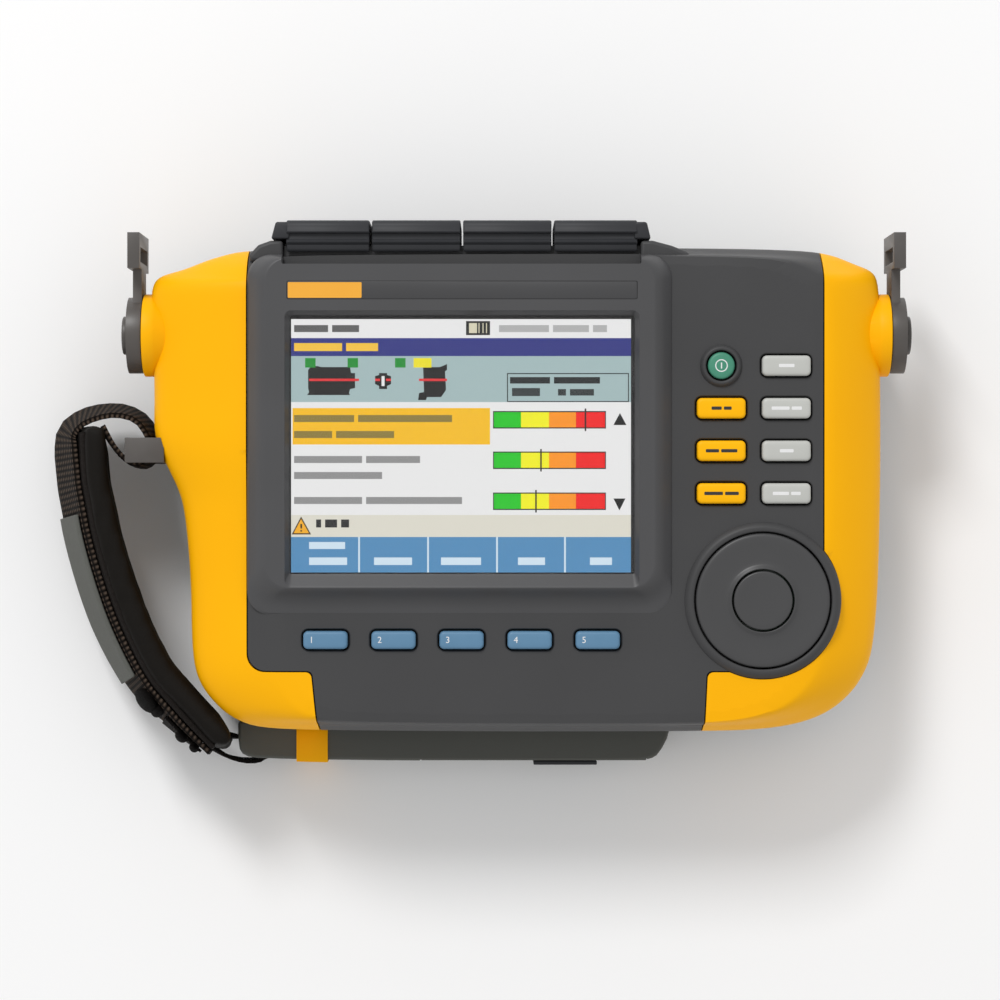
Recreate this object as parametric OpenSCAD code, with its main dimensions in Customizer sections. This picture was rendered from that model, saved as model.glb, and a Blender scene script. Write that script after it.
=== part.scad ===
// Two-hand vibration meter lying on its back, in millimetres.
// X runs to the right of the screen, Y towards the sockets and Z out of the screen.
// The origin is the middle of the box round it, at the table.

/* [Case] */
// Widest reach of the case to each side of its middle line
case_reach = 124; // [118:0.5:130]
// Reach of the case from its middle line to the socket end
case_rise = 82; // [79:0.5:85]
// Height of the keypad face above the table
face_z = 64; // [60:0.5:68]
// How far the screen block stands above the keypad face
block_rise = 6; // [5:0.5:8]
// Height of the joint between the rear and front halves
split_z = 28; // [27.5:0.5:30]
// Thickness of the seal between the halves
seal_t = 1; // [0.6:0.1:1.4]
// Wall of both case halves
case_wall = 2.6; // [2:0.1:3]
// Thickness of the yellow side mouldings
grip_t = 2.4; // [1.8:0.1:3]
// Height of the rubber feet below the rear half
foot_pad_h = 1.5; // [1:0.1:2.5]
// How far the low band stands out past the lower edge
band_drop = 12; // [11:0.5:14]
// Height of the top of the low band
band_top = 26; // [25.9:0.1:27]

/* [Screen] */
// Dark frame to each side of the display opening, out to the foot of the screen block
screen_frame = 13.35; // [12:0.05:16]
// Height of the display opening
screen_h = 86; // [80:0.5:88]
// Thickness of the clear window
window_t = 1; // [0.8:0.1:1.2]
// Thickness of the display module
module_t = 8.5; // [6:0.5:10]
// Height of the nameplate strip
plate_h = 6.1; // [5:0.1:7]

/* [Keys] */
// Length of a yellow or grey key
key_w = 16.2; // [14:0.2:17]
// Width of a yellow or grey key
key_h = 6.8; // [6:0.1:8]
// Gap between two function keys
function_key_gap = 7.9; // [5:0.1:10]
// Width of a function key
function_key_h = 6; // [5:0.1:7]
// Step from one row of keys to the next
key_pitch = 14.2; // [12.5:0.1:14.6]
// Radius of the power key
power_r = 4.5; // [3.5:0.1:5]
// How far a key stands out of the face
key_rise = 2; // [1.4:0.1:2.4]
// How far a key goes down when it is pressed
key_travel = 1.2; // [0.8:0.1:1.3]
// Running gap round a key
key_gap = 0.6; // [0.4:0.05:0.7]

/* [Direction disc] */
// Radius of the direction disc
disc_r = 22.4; // [21:0.2:23.4]
// Radius of the enter button
enter_r = 9.9; // [8:0.1:10.5]
// How far the disc tilts each way, in degrees
disc_tilt = 3; // [1:0.5:3.5]

/* [Strap lugs] */
// Radius of a lug's disc
lug_r = 12.9; // [11:0.1:13.5]
// Thickness of a lug's disc
lug_t = 4.9; // [4:0.1:5.5]
// Radius of the post that a lug turns on
post_r = 4; // [3:0.1:5]
// Running gap between a lug and its post
post_gap = 0.06; // [0.04:0.01:0.1]
// Reach of a lug's loop from the middle of its post
loop_reach = 34; // [30:0.5:36]
// Width of the slot for a shoulder strap
slot_w = 22; // [18:0.5:24]
// Height of the slot for a shoulder strap
slot_h = 5; // [4.6:0.1:6]

/* [Hand strap] */
// How far the strap bows out past the case
strap_bow = 30; // [28:0.5:33]
// Width of the pad
pad_w = 46; // [40:0.5:47]
// Thickness of the pad
pad_t = 9.4; // [8:0.2:10]
// Width of the webbing
web_w = 32; // [28:0.5:34]
// Thickness of the webbing
web_t = 1.8; // [1.4:0.1:2]
// Thickness of the grey patch
patch_t = 1.2; // [0.8:0.1:1.4]
// Radius of the strap pins
strap_pin_r = 2.5; // [2:0.1:2.8]

/* [Socket covers] */
// How much narrower the two end covers are than the two middle ones
end_cover_less = 1.8; // [0:0.1:3]
// Gap between two covers
cover_gap = 0.9; // [0.5:0.1:1.4]
// How far the covers stand out past the case
cover_out = 8; // [7:0.1:9]
// Wall of a cover
cover_wall = 2.4; // [1.8:0.1:2.8]

/* [Battery] */
// Width of the battery pack
battery_w = 78; // [76.4:0.2:79]
// Length of the battery pack
battery_l = 72; // [70:0.5:74]
// Thickness of the battery pack
battery_t = 21; // [20.8:0.1:21.2]
// Wall of the battery pack over and under its cells
pack_wall = 1.3; // [1.2:0.1:1.6]
// Room at each end of the cells, with the pack's end wall
cell_end = 3.5; // [2.5:0.1:6]
// How far the latch slides
latch_travel = 5; // [3:0.5:6]

/* [Hidden] */

$fn = 48;
// Overrun of every cut, and the gap between still pieces that only lie together
over = 1;
seat_gap = 0.1;
soft_gap = 0.15;

// Outline of the case seen from above, clockwise from the upper left corner, as shares of
// case_reach and case_rise. The waist on the left side leaves room for the hand.
outline_shares = [[-0.740, 0.989], [-0.484, 0.994], [0, 0.998], [0.484, 0.998], [0.766, 0.990],
    [0.862, 0.972], [0.925, 0.930], [0.972, 0.905], [0.992, 0.860], [0.995, 0.671],
    [0.997, 0.244], [0.996, -0.061], [0.989, -0.462], [0.975, -0.670], [0.956, -0.754],
    [0.923, -0.837], [0.862, -0.920], [0.782, -0.971], [0.669, -0.999], [0.505, -1.005],
    [0, -1.007], [-0.484, -1.002], [-0.699, -0.994], [-0.763, -0.961], [-0.806, -0.920],
    [-0.856, -0.837], [-0.881, -0.754], [-0.890, -0.628], [-0.891, -0.427], [-0.898, -0.254],
    [-0.910, -0.085], [-0.925, -0.005], [-0.952, 0.078], [-0.979, 0.161], [-0.994, 0.244],
    [-0.991, 0.390], [-0.996, 0.610], [-1.001, 0.785], [-0.996, 0.851], [-0.972, 0.885],
    [-0.915, 0.905], [-0.855, 0.943], [-0.802, 0.968]];
// Rings of the front half: shares of the left, right and end reach, and of the way up to the face
front_ring_shares = [[1, 1, 1, 0], [1, 1, 1, 0.52], [0.993, 0.993, 0.991, 0.606],
    [0.975, 0.978, 0.979, 0.679], [0.94, 0.955, 0.968, 0.752], [0.88, 0.922, 0.962, 0.845],
    [0.8, 0.88, 0.957, 0.941], [0.74, 0.845, 0.952, 1]];
// Rings of the rear half: shares of the left, right and end reach, and of the way up to the joint
rear_ring_shares = [[0.955, 0.955, 0.935, 0], [0.972, 0.972, 0.96, 0.04],
    [0.988, 0.988, 0.982, 0.14], [0.998, 0.998, 0.996, 0.34], [1, 1, 1, 0.6], [1, 1, 1, 1]];
front_z = split_z + seal_t/2;
rear_top = split_z - seal_t/2;
shell_t = grip_t + case_wall;
block_z = face_z + block_rise;
inner_face_z = face_z - case_wall;

// Edges of the dark middle between the yellow sides
grip_side_w = 33.8;
right_side_w = 21.5;
line_left = case_reach - grip_side_w;
line_right = case_reach - right_side_w;
toe_left_in = 21.9;
toe_right_in = 39;
toe_left = line_left - toe_left_in;
toe_right = line_right - toe_right_in;
toe_y = -0.745*case_rise;
toe_lean_left = 0.1;
toe_lean_right = 0.05;
toe_corner_r = 6;

// Places across the face, from the right side inwards: the disc, the key columns, the screen block
disc_in = 20.4;
disc_x = line_right - disc_in;
key_col_in = 13.9;
key_col_out = 7.8;
key_col_1 = disc_x - key_col_in;
key_col_2 = disc_x + key_col_out;
key_col_room = 16.4;

// Screen block: its foot on the keypad face, and how far its sides lean in
block_margin = 0.5;
block_left = line_left - block_margin;
block_right = key_col_1 - key_col_room;
block_low = 42;
block_high = 0.952*case_rise;
block_side_lean = 6;
block_top_lean = 1.5;
block_apron = 9;
block_corner_r = 8;
// Rings of the block: shares of the side lean, of the apron below the screen and of the rise
block_ring_shares = [[0, 0, -0.1], [0.05, 0.3, 0.08], [0.25, 0.62, 0.3], [0.6, 0.85, 0.72],
    [0.85, 0.95, 0.93], [1, 1, 1]];
screen_shift = 0.75;
screen_w = block_left + block_right - 2*screen_frame;
screen_x = (block_right - block_left)/2 + screen_shift;
screen_y = 14.6;
window_drop = 2.4;
bevel_side = 1.4;
bevel_low = 4;
module_frame = 4.6;
module_top = block_z - window_drop - window_t - seat_gap;
plate_room = 8.3;
plate_y = screen_y + screen_h/2 + plate_room;
plate_over = 0.85;
plate_w = screen_w + 2*plate_over;
plate_t = 0.6;

// Recess in the face behind the socket covers
shelf_z = 59;
shelf_y = 0.91*case_rise;
row_shift = 0.2;
cover_row_x = screen_x - row_shift;
cover_row_over = 1.35;
cover_row_w = screen_w + 2*cover_row_over;
mid_cover_w = (cover_row_w - 3*cover_gap + 2*end_cover_less)/4;
end_cover_w = mid_cover_w - end_cover_less;
shelf_margin = 1;

// Keys
key_row_1 = 41;
function_row_in = 4.6;
function_key_w = (screen_w - 2*function_row_in - 4*function_key_gap)/5;
function_key_pitch = function_key_w + function_key_gap;
function_key_x = screen_x - row_shift - 2*function_key_pitch;
function_key_y = -50.5;
key_corner_r = 1.6;
key_bottom = inner_face_z + 0.1*key_travel;
key_crown = 0.7;
power_collar_w = 2.4;
power_collar_rise = 1.6;
mat_t = 1.1;
board_t = 1.6;
mat_top = key_bottom - key_travel - seat_gap;
board_margin = 3;
key_room = 1.2;

// Direction disc. Its gap leaves room for the swing of its upper edge when it tilts
disc_y = -37.3;
disc_rise = 1.6;
disc_t = 3.2;
disc_top = face_z + disc_rise;
tilt_z = 60;
disc_clear = 0.3;
disc_gap = disc_clear + (disc_top - tilt_z)*sin(disc_tilt);
collar_w = 3.2;
disc_bore_r = enter_r + disc_gap;
disc_dish = 0.9;
rim_w = 3;
cradle_r = 17;
cradle_w = 3;
cradle_t = 1.6;
post_pin_r = 1.8;
enter_rise = 2.4;

// Strap lugs
lug_y = 52.1;
lug_z = 42.5;
boss_r = 14;
boss_out = 2.4;
lug_gap = 0.3;
post_head_r = 6.5;
post_head_t = 1.8;
post_depth = 8;
loop_w = 30;
loop_t = 4;
loop_bar = 4.7;
neck_w = 14;
neck_t = 3;
loop_bar_low = 2.3;
loop_foot = loop_reach - loop_bar - slot_h - loop_bar_low;

// Low band past the lower edge, as shares of its reaches and of band_drop
band_left_in = 28;
band_right_in = 71;
band_left = case_reach - band_left_in;
band_right = case_reach - band_right_in;
band_shares = [[-1, -0.4], [1, -0.4], [1, 0.2], [0.93, 0.79], [0.87, 0.95], [0.75, 0.99], [0, 1],
    [-0.62, 0.967], [-0.917, 0.917], [-0.979, 0.85], [-1, 0.583]];
stripe_in = 20.2;
stripe_x = -band_left + stripe_in;
stripe_w = 10.8;
stripe_t = 0.8;

// Battery bay
battery_x = 6;
bay_gap = 0.3;
bay_wall = 1.7;
battery_z = foot_pad_h + case_wall + bay_gap;
battery_y = -case_rise - band_drop + bay_gap;
cell_count = 4;
cell_l = battery_l - 2*cell_end;
cell_r = min((battery_w - 2*pack_wall - seat_gap)/cell_count/2, battery_t/2 - pack_wall - seat_gap);
contact_w = 24;
contact_h = 8;
contact_t = 1.2;
latch_w = 22;
latch_h = 12;
latch_t = 1.4;
latch_gap = 0.2;
latch_offset = 11;
latch_key_w = 8;
latch_key_d = 0.8;

// Fasteners and feet
screw_shares = [[-0.84, 0.75], [0.87, 0.75], [0.84, -0.75], [-0.74, -0.78]];
column_r = 4;
screw_r = 1.5;
screw_head_r = 3;
screw_head_t = 2.4;
screw_l = 34;
pad_shares = [[-0.78, 0.6], [0.8, 0.6], [0.8, -0.6], [-0.62, -0.6]];
foot_pad_r = 7;
foot_pad_seat = 0.6;

// Sockets, in the order of the covers
panel_t = 3.6;
panel_in = 0.4;
panel_y = case_rise - panel_in;
panel_margin = 1.6;
panel_low = 29;
panel_high = 57;
socket_z = 42;
socket_back = 70;
sensor_room = 1.8;
speed_room = 5.6;
sensor_r = (end_cover_w - 2*cover_wall - 2*panel_margin - sensor_room)/2;
sensor_cup_r = 0.7222*sensor_r;
speed_r = (mid_cover_w - 2*cover_wall - 2*panel_margin - speed_room)/2;
speed_cup_r = 0.6875*speed_r;
power_socket_r = 0.2158*end_cover_w;
power_cup_r = 0.533*power_socket_r;
socket_out = 4.8;
socket_cup_l = 8;
contact_share = 0.0923;
contact_depth = 3;
power_pin_r = 0.3125*power_cup_r;
usb_w = 0.4932*mid_cover_w;
usb_h = 7.4;
usb_wall = 0.9;
usb_tongue = 2;

// Socket covers
hinge_z = 20;
cover_in_gap = 0.3;
cover_back = case_rise + cover_in_gap;
cover_front = case_rise + cover_out;
cover_lip_z = shelf_z + cover_in_gap;
cover_lip_t = 1.7;
cover_lip_reach = 3.5;
wing_left = 5.1;
wing_right = 4.6;
wing_in = 1.3;
wing_end_share = 0.7;
strip_z = 8;
strip_gap = 0.4;
strip_left = 5;
strip_right = 4.6;

// Hand strap. The pad's middle line as shares of strap_bow and case_rise, with the share of the lean
spine_shares = [[0.84, 0.232, 1], [0.813, 0.037, 1], [0.76, -0.061, 1], [0.683, -0.215, 1],
    [0.477, -0.466, 1], [0.277, -0.634, 0.95], [0.027, -0.795, 0.85], [-0.207, -0.877, 0.7],
    [-0.457, -0.961, 0.5], [-0.75, -1.05, 0.3]];
// How far the strap leans in per millimetre of its width, at its full lean
lean = 0.33;
// Webbing between the bracket's pin and the pad, from the pin, as shares of strap_bow and of the lean
inner_ply_shares = [[-0.434, 0.172, 0.7], [-0.337, 0.059, 0.5], [-0.24, -0.035, 0.3],
    [-0.144, -0.088, 0.1]];
outer_ply_shares = [[0.095, 0.16, 0], [-0.02, 0.367, 0.15], [-0.253, 0.467, 0.35],
    [-0.507, 0.453, 0.5], [-0.74, 0.375, 0.65], [-0.9, 0.219, 0.9], [-0.907, 0, 1]];
pin_x = -case_reach - 0.133*strap_bow;
pin_y = 0.159*case_rise;
pin_turn = strap_pin_r + soft_gap + web_t/2;
strap_z = 28.5;
layer_gap = 0.4;
web_mid = -(pad_t/2 + layer_gap + web_t/2);
patch_mid = web_mid - web_t/2 - layer_gap - patch_t/2;
patch_w = 30;
tab_w = 20;
tab_t = 1;
arm_t = 4;
arm_reach = 4.2;
pin_cap = 1.2;
bracket_z = 8;
bracket_less = 2;
bracket_top = bracket_z + pad_w - bracket_less;
bracket_base = 5;

// Lower loop of the strap, round a pin in a notch of the band
low_pin_in = 9;
low_pin_x = -band_left + low_pin_in;
low_pin_y = -case_rise - 0.63*band_drop;
low_web_t = 1.4;
low_web_w = 14;
low_turn = strap_pin_r + soft_gap + low_web_t/2;
low_pin_z = 13.5;
low_slope = 1;
notch_low = 5;
notch_in = 14.5;
notch_y = 2.8;
// Plies of the loop, from the pin, as shares of the pin's distance from the band's end
low_inner_shares = [[-1.42, 0.42, 0.5], [-0.95, 0.36, 0.2], [-0.45, 0.36, 0]];
low_outer_shares = [[-0.26, -0.54, 0], [-0.85, -0.565, -0.1], [-1.5, -0.4, -0.3], [-1.87, -0.18, -0.45]];

function soften(p) = [for (i = [0:len(p) - 1]) let (a = p[i], b = p[(i + 1)%len(p)])
    for (t = [0.25, 0.75]) a + (b - a)*t];
function soften_open(p) = concat([p[0]],
    [for (i = [0:len(p) - 2]) for (t = [0.25, 0.75]) p[i] + (p[i + 1] - p[i])*t],
    [p[len(p) - 1]]);
outline = soften([for (s = outline_shares) [case_reach*s[0], case_rise*s[1]]]);
band_outline = soften([for (s = band_shares)
    [s[0]*(s[0] < 0 ? band_left : band_right), -case_rise - band_drop*s[1]]]);

// One ring of the case at height z, drawn in by t
function case_ring(r, t, z) = [for (p = outline)
    [p[0]*((p[0] < 0 ? r[0] : r[1]) - t/case_reach), p[1]*(r[2] - t/case_rise), z]];
function front_rings(t, low) = [for (r = front_ring_shares)
    case_ring(r, t, r[3] == 0 ? low : front_z + (face_z - t - front_z)*r[3])];
rear_rings = [for (r = rear_ring_shares)
    case_ring(r, 0, foot_pad_h + (rear_top - foot_pad_h)*r[3])];

// Corners of a rectangle with round corners, clockwise seen from above
function round_ring(x0, x1, y0, y1, r, z) = [
    for (c = [[x0 + r, y1 - r, 180], [x1 - r, y1 - r, 90], [x1 - r, y0 + r, 0], [x0 + r, y0 + r, -90]])
        for (a = [0:18:90]) [c[0] + r*cos(c[2] - a), c[1] + r*sin(c[2] - a), z]];
block_rings = [for (s = block_ring_shares) round_ring(
    -block_left + block_side_lean*s[0], block_right - block_side_lean*s[0],
    -block_low + block_apron*s[1], block_high - block_top_lean*s[0],
    block_corner_r, face_z + block_rise*s[2])];

function skin_faces(n, k) = concat([[for (i = [n - 1:-1:0]) i]],
    [for (j = [0:k - 2]) for (i = [0:n - 1]) let (a = j*n + i, b = j*n + (i + 1)%n)
        each [[a, b, b + n], [a, b + n, a + n]]],
    [[for (i = [0:n - 1]) (k - 1)*n + i]]);
module skin(rings) {
    polyhedron(points = [for (r = rings) each r], faces = skin_faces(len(rings[0]), len(rings)),
        convexity = 8);
}

// A band of thickness t and width w along a path of [x, y, lean, middle height] points,
// at distance u from the path
function unit(v) = v/norm(v);
function path_dir(p, i) = unit([for (k = [0, 1])
    p[min(i + 1, len(p) - 1)][k] - p[max(i - 1, 0)][k]]);
function band_ring(p, i, u, t, w) = let (d = path_dir(p, i), r = [-d[1], d[0]])
    [for (c = [[-1, 1], [1, 1], [1, -1], [-1, -1]]) let (v = c[1]*w/2)
        [p[i][0] + r[0]*(u + c[0]*t/2 + lean*p[i][2]*v),
         p[i][1] + r[1]*(u + c[0]*t/2 + lean*p[i][2]*v), p[i][3] + v]];
// A padded section: thin at its long edges, full in its middle
pad_section_shares = [[-0.7, 1], [0.7, 1], [1, 0.82], [1, -0.82], [0.7, -1], [-0.7, -1],
    [-1, -0.82], [-1, 0.82]];
function pad_ring(p, i, t, w, s) = let (d = path_dir(p, i), r = [-d[1], d[0]])
    [for (c = pad_section_shares) let (v = c[1]*w*s/2)
        [p[i][0] + r[0]*(c[0]*t*s/2 + lean*p[i][2]*v),
         p[i][1] + r[1]*(c[0]*t*s/2 + lean*p[i][2]*v), p[i][3] + v]];

spine = soften_open([for (s = spine_shares)
    [-case_reach - strap_bow*s[0], case_rise*s[1], s[2], strap_z]]);
// The webbing comes up inside, turns round the pin, and goes over and down the outside of the pad
pad_start = 2;
web_arc = concat(
    [for (s = inner_ply_shares) [pin_x + strap_bow*s[0], pin_y + strap_bow*s[1], s[2], strap_z]],
    [for (a = [-115:25:35]) [pin_x + pin_turn*cos(a), pin_y + pin_turn*sin(a), 0, strap_z]],
    [for (s = outer_ply_shares) [pin_x + strap_bow*s[0], pin_y + strap_bow*s[1], s[2], strap_z]]);
web_path = concat(web_arc, [let (d = path_dir(spine, pad_start), p = spine[pad_start])
    [p[0] - d[1]*web_mid, p[1] + d[0]*web_mid, p[2], strap_z]]);
low_span = band_left + low_pin_x;
low_path = concat(
    [for (s = low_inner_shares) [low_pin_x + low_span*s[0], low_pin_y + low_span*s[1], s[2],
        low_pin_z - low_slope*s[0]]],
    [for (a = [85:-25:-90])
        [low_pin_x + low_turn*cos(a), low_pin_y + low_turn*sin(a), 0, low_pin_z]],
    [for (s = low_outer_shares) [low_pin_x + low_span*s[0], low_pin_y + low_span*s[1], s[2],
        low_pin_z - low_slope*s[0]]]);
patch_first = 5;
patch_last = 12;
tab_first = 15;
tab_last = 18;

// Reaches of the whole object from the middle of the case
left_reach = max(concat(
    [for (i = [patch_first:patch_last]) for (q = band_ring(spine, i, patch_mid, patch_t, patch_w)) -q[0]],
    [for (i = [0:len(web_arc) - 1]) for (q = band_ring(web_path, i, 0, web_t, web_w)) -q[0]],
    [for (i = [pad_start:len(spine) - 1]) for (q = band_ring(spine, i, web_mid, web_t, web_w)) -q[0]],
    [for (i = [0:len(spine) - 1]) for (q = pad_ring(spine, i, pad_t, pad_w, 1)) -q[0]]));
right_reach = case_reach + boss_out + lug_gap + lug_t + post_head_t;
far_reach = cover_front;
near_reach = case_rise + band_drop + latch_gap + latch_t;

// Puts what is drawn about the middle of the case over the origin
module placed() {
    translate([(left_reach - right_reach)/2, (near_reach - far_reach)/2, 0]) children();
}

// A box between two corners
module box(a, b) {
    translate(a) cube([for (i = [0:2]) b[i] - a[i]]);
}

// A flat plate with round corners in the middle of the XY plane
module round_plate(w, h, r, t) {
    translate([-w/2 + r, -h/2, 0]) cube([w - 2*r, h, t]);
    translate([-w/2, -h/2 + r, 0]) cube([w, h - 2*r, t]);
    for (x = [-1, 1], y = [-1, 1])
        translate([x*(w/2 - r), y*(h/2 - r), 0]) cylinder(r = r, h = t, $fn = 24);
}

// The dark middle seen from above: straight sides, a round bay for the disc and two slanted toes
module middle_area() {
    far = 2*case_rise;
    polygon(concat(
        [[-line_left, far], [line_right, far], [line_right, disc_y], [disc_x, disc_y], [disc_x, toe_y],
         [toe_right, toe_y], [toe_right - toe_lean_right*(far + toe_y), -far],
         [-toe_left + toe_lean_left*(far + toe_y), -far], [-toe_left, toe_y]],
        [for (a = [270:-15:180]) [-line_left + toe_corner_r + toe_corner_r*cos(a),
            toe_y + toe_corner_r + toe_corner_r*sin(a)]]));
    translate([disc_x, disc_y]) circle(r = disc_r + disc_gap + collar_w);
}
module middle_prism() {
    linear_extrude(height = 2*face_z) middle_area();
}

// The outline drawn in by both walls, as a prism
module cavity_prism(z0, z1) {
    translate([0, 0, z0]) linear_extrude(height = z1 - z0)
        polygon([for (p = outline) [p[0]*(1 - shell_t/case_reach), p[1]*(1 - shell_t/case_rise)]]);
}

// Screw columns of one half, from z0 to z1
module screw_columns(z0, z1) {
    for (s = screw_shares)
        translate([case_reach*s[0], case_rise*s[1], z0]) cylinder(r = column_r, h = z1 - z0);
}
module screw_holes(z0, r) {
    for (s = screw_shares)
        translate([case_reach*s[0], case_rise*s[1], z0]) cylinder(r = r, h = screw_l);
}

// Holes in the face for the keys, each with its running gap
module key_hole(w, h) {
    translate([0, 0, inner_face_z - over])
        round_plate(w + 2*key_gap, h + 2*key_gap, key_corner_r + key_gap, case_wall + block_rise);
}
module key_places(col, rows) {
    for (i = rows) translate([col, key_row_1 - key_pitch*i, 0]) children();
}

// Front half: the dark middle stands flush between the yellow sides and runs on beneath them
module front_case() {
    cavity_top = front_z + 0.52*(face_z - front_z) - over;
    color([0.29, 0.29, 0.29]) placed() difference() {
        union() {
            intersection() {
                skin(front_rings(0, front_z));
                middle_prism();
            }
            skin(front_rings(grip_t, front_z));
            skin(block_rings);
            translate([disc_x, disc_y, inner_face_z])
                cylinder(r = disc_r + disc_gap + collar_w, h = case_wall + disc_rise);
            translate([key_col_1, key_row_1, inner_face_z])
                cylinder(r = power_r + key_gap + power_collar_w, h = case_wall + power_collar_rise);
        }
        difference() {
            cavity_prism(front_z - over, cavity_top);
            screw_columns(front_z, cavity_top + over);
        }
        // Room under the keypad face, and more of it under the screen block
        box([-0.68*case_reach, -0.8*case_rise, cavity_top - over],
            [key_col_2 + key_w/2 + key_room, 0.8*case_rise, inner_face_z]);
        translate([disc_x, disc_y, cavity_top - over])
            cylinder(r = disc_r - over, h = inner_face_z + over - cavity_top);
        module_seat = module_frame + seat_gap;
        box([screen_x - screen_w/2 - module_seat, screen_y - screen_h/2 - module_seat,
             inner_face_z - over],
            [screen_x + screen_w/2 + module_seat, screen_y + screen_h/2 + module_seat,
             module_top + seat_gap]);
        // Display opening, with a bevel down to the window that is widest at its lower edge
        box([screen_x - screen_w/2, screen_y - screen_h/2, module_top - over],
            [screen_x + screen_w/2, screen_y + screen_h/2, block_z]);
        skin([for (k = [[0, block_z - window_drop], [1.25, block_z + 0.25*window_drop]])
            round_ring(screen_x - screen_w/2 - bevel_side*k[0], screen_x + screen_w/2 + bevel_side*k[0],
                screen_y - screen_h/2 - bevel_low*k[0], screen_y + screen_h/2 + bevel_side*k[0],
                window_t, k[1])]);
        translate([screen_x - plate_w/2, plate_y - plate_h/2, block_z - plate_t])
            cube([plate_w, plate_h, plate_t + over]);
        // Shelf behind the socket covers, and the seat of the socket panel
        box([cover_row_x - cover_row_w/2 - shelf_margin, shelf_y, shelf_z],
            [cover_row_x + cover_row_w/2 + shelf_margin, 2*case_rise, block_z + over]);
        box([cover_row_x - cover_row_w/2 - shelf_margin - seat_gap, panel_y - panel_t - seat_gap,
             panel_low - seat_gap],
            [cover_row_x + cover_row_w/2 + shelf_margin + seat_gap, 2*case_rise, panel_high + seat_gap]);
        box([cover_x(0) - sensor_r - panel_margin, socket_back, socket_z - sensor_r - panel_margin],
            [cover_x(3) + power_socket_r + panel_margin, panel_y, socket_z + sensor_r + panel_margin]);
        key_places(key_col_1, [1:3]) key_hole(key_w, key_h);
        key_places(key_col_2, [0:3]) key_hole(key_w, key_h);
        for (i = [0:4]) translate([function_key_x + function_key_pitch*i, function_key_y, 0])
            key_hole(function_key_w, function_key_h);
        translate([key_col_1, key_row_1, inner_face_z - over])
            cylinder(r = power_r + key_gap, h = case_wall + block_rise);
        translate([disc_x, disc_y, inner_face_z - over])
            cylinder(r = disc_r + disc_gap, h = case_wall + block_rise);
        screw_holes(front_z - over, screw_r);
        for (side = [-1, 1]) post_bore(side);
    }
    color([0.29, 0.29, 0.29]) placed()
        board_posts(mat_top - mat_t, inner_face_z + case_wall/2, post_pin_r);
}
module post_bore(side) {
    translate([side*(case_reach - post_depth), lug_y, lug_z])
        rotate([0, side*90, 0]) cylinder(r = post_r, h = post_depth + boss_out + over);
}

// The yellow mouldings lie over the front half outside the dark middle, each with a boss for its lug
module side_moulding(side) {
    color([0.98, 0.75, 0.05]) placed() difference() {
        union() {
            difference() {
                skin(front_rings(0, front_z));
                skin(front_rings(grip_t, front_z - over));
                middle_prism();
                box([side > 0 ? -2*case_reach : 0, -2*case_rise, 0],
                    [side > 0 ? 0 : 2*case_reach, 2*case_rise, 2*face_z]);
            }
            difference() {
                translate([side*(case_reach - grip_t/2), lug_y, lug_z])
                    rotate([0, side*90, 0]) cylinder(r = boss_r, h = boss_out + grip_t/2);
                cavity_prism(0, 2*face_z);
                skin(front_rings(grip_t, front_z - over));
            }
        }
        post_bore(side);
    }
}
module grip_left() {
    side_moulding(-1);
}
module side_right() {
    side_moulding(1);
}

// Rear half: a tray with the low band at its lower end and the battery bay inside
module bay(grow) {
    box([battery_x - battery_w/2 - bay_gap - grow, battery_y - (grow > 0 ? 0 : bay_gap + over),
         battery_z - bay_gap - grow],
        [battery_x + battery_w/2 + bay_gap + grow, battery_y + battery_l + bay_gap + contact_t + grow,
         battery_z + battery_t + bay_gap + grow]);
}
module band_prism(z0, z1) {
    translate([0, 0, z0]) linear_extrude(height = z1 - z0) polygon(band_outline);
}
module rear_case() {
    cavity_low = foot_pad_h + case_wall;
    color([0.25, 0.25, 0.24]) placed() difference() {
        union() {
            difference() {
                skin(rear_rings);
                difference() {
                    cavity_prism(cavity_low, rear_top + over);
                    screw_columns(cavity_low - over, rear_top + over);
                }
            }
            band_prism(foot_pad_h, band_top);
            bay(bay_wall);
        }
        bay(0);
        // Notch for the lower strap pin
        box([-2*band_left, -2*case_rise, notch_low],
            [-band_left + notch_in, -case_rise - notch_y, low_pin_z*2 - notch_low]);
        translate([low_pin_x, low_pin_y, notch_low - foot_pad_h])
            cylinder(r = strap_pin_r, h = 2*low_pin_z - 2*notch_low + 2*foot_pad_h + seat_gap);
        screw_holes(0, screw_r + seat_gap);
        screw_heads_seat();
        for (s = pad_shares) translate([case_reach*s[0], case_rise*s[1], 0])
            cylinder(r = foot_pad_r + seat_gap, h = foot_pad_h + foot_pad_seat);
    }
}
module screw_heads_seat() {
    for (s = screw_shares) translate([case_reach*s[0], case_rise*s[1], 0])
        cylinder(r = screw_head_r + 3*seat_gap, h = foot_pad_h + screw_head_t);
}

// Seal between the halves, set in a little from the wall
module case_seal() {
    color([0.1, 0.1, 0.1]) placed() translate([0, 0, rear_top]) linear_extrude(height = seal_t)
        difference() {
            polygon([for (p = outline) [p[0]*(1 - seal_t/case_reach), p[1]*(1 - seal_t/case_rise)]]);
            polygon([for (p = outline) [p[0]*(1 - shell_t/case_reach), p[1]*(1 - shell_t/case_rise)]]);
        }
}

// Yellow stripe: a skin over the top and the outer edge of the band
module band_stripe() {
    color([0.98, 0.73, 0.05]) placed() intersection() {
        difference() {
            translate([0, -stripe_t, 0]) band_prism(foot_pad_h + over, band_top + stripe_t);
            band_prism(0, band_top);
        }
        box([stripe_x, -2*case_rise, 0], [stripe_x + stripe_w, -case_rise - stripe_t, 2*band_top]);
    }
}

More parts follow.
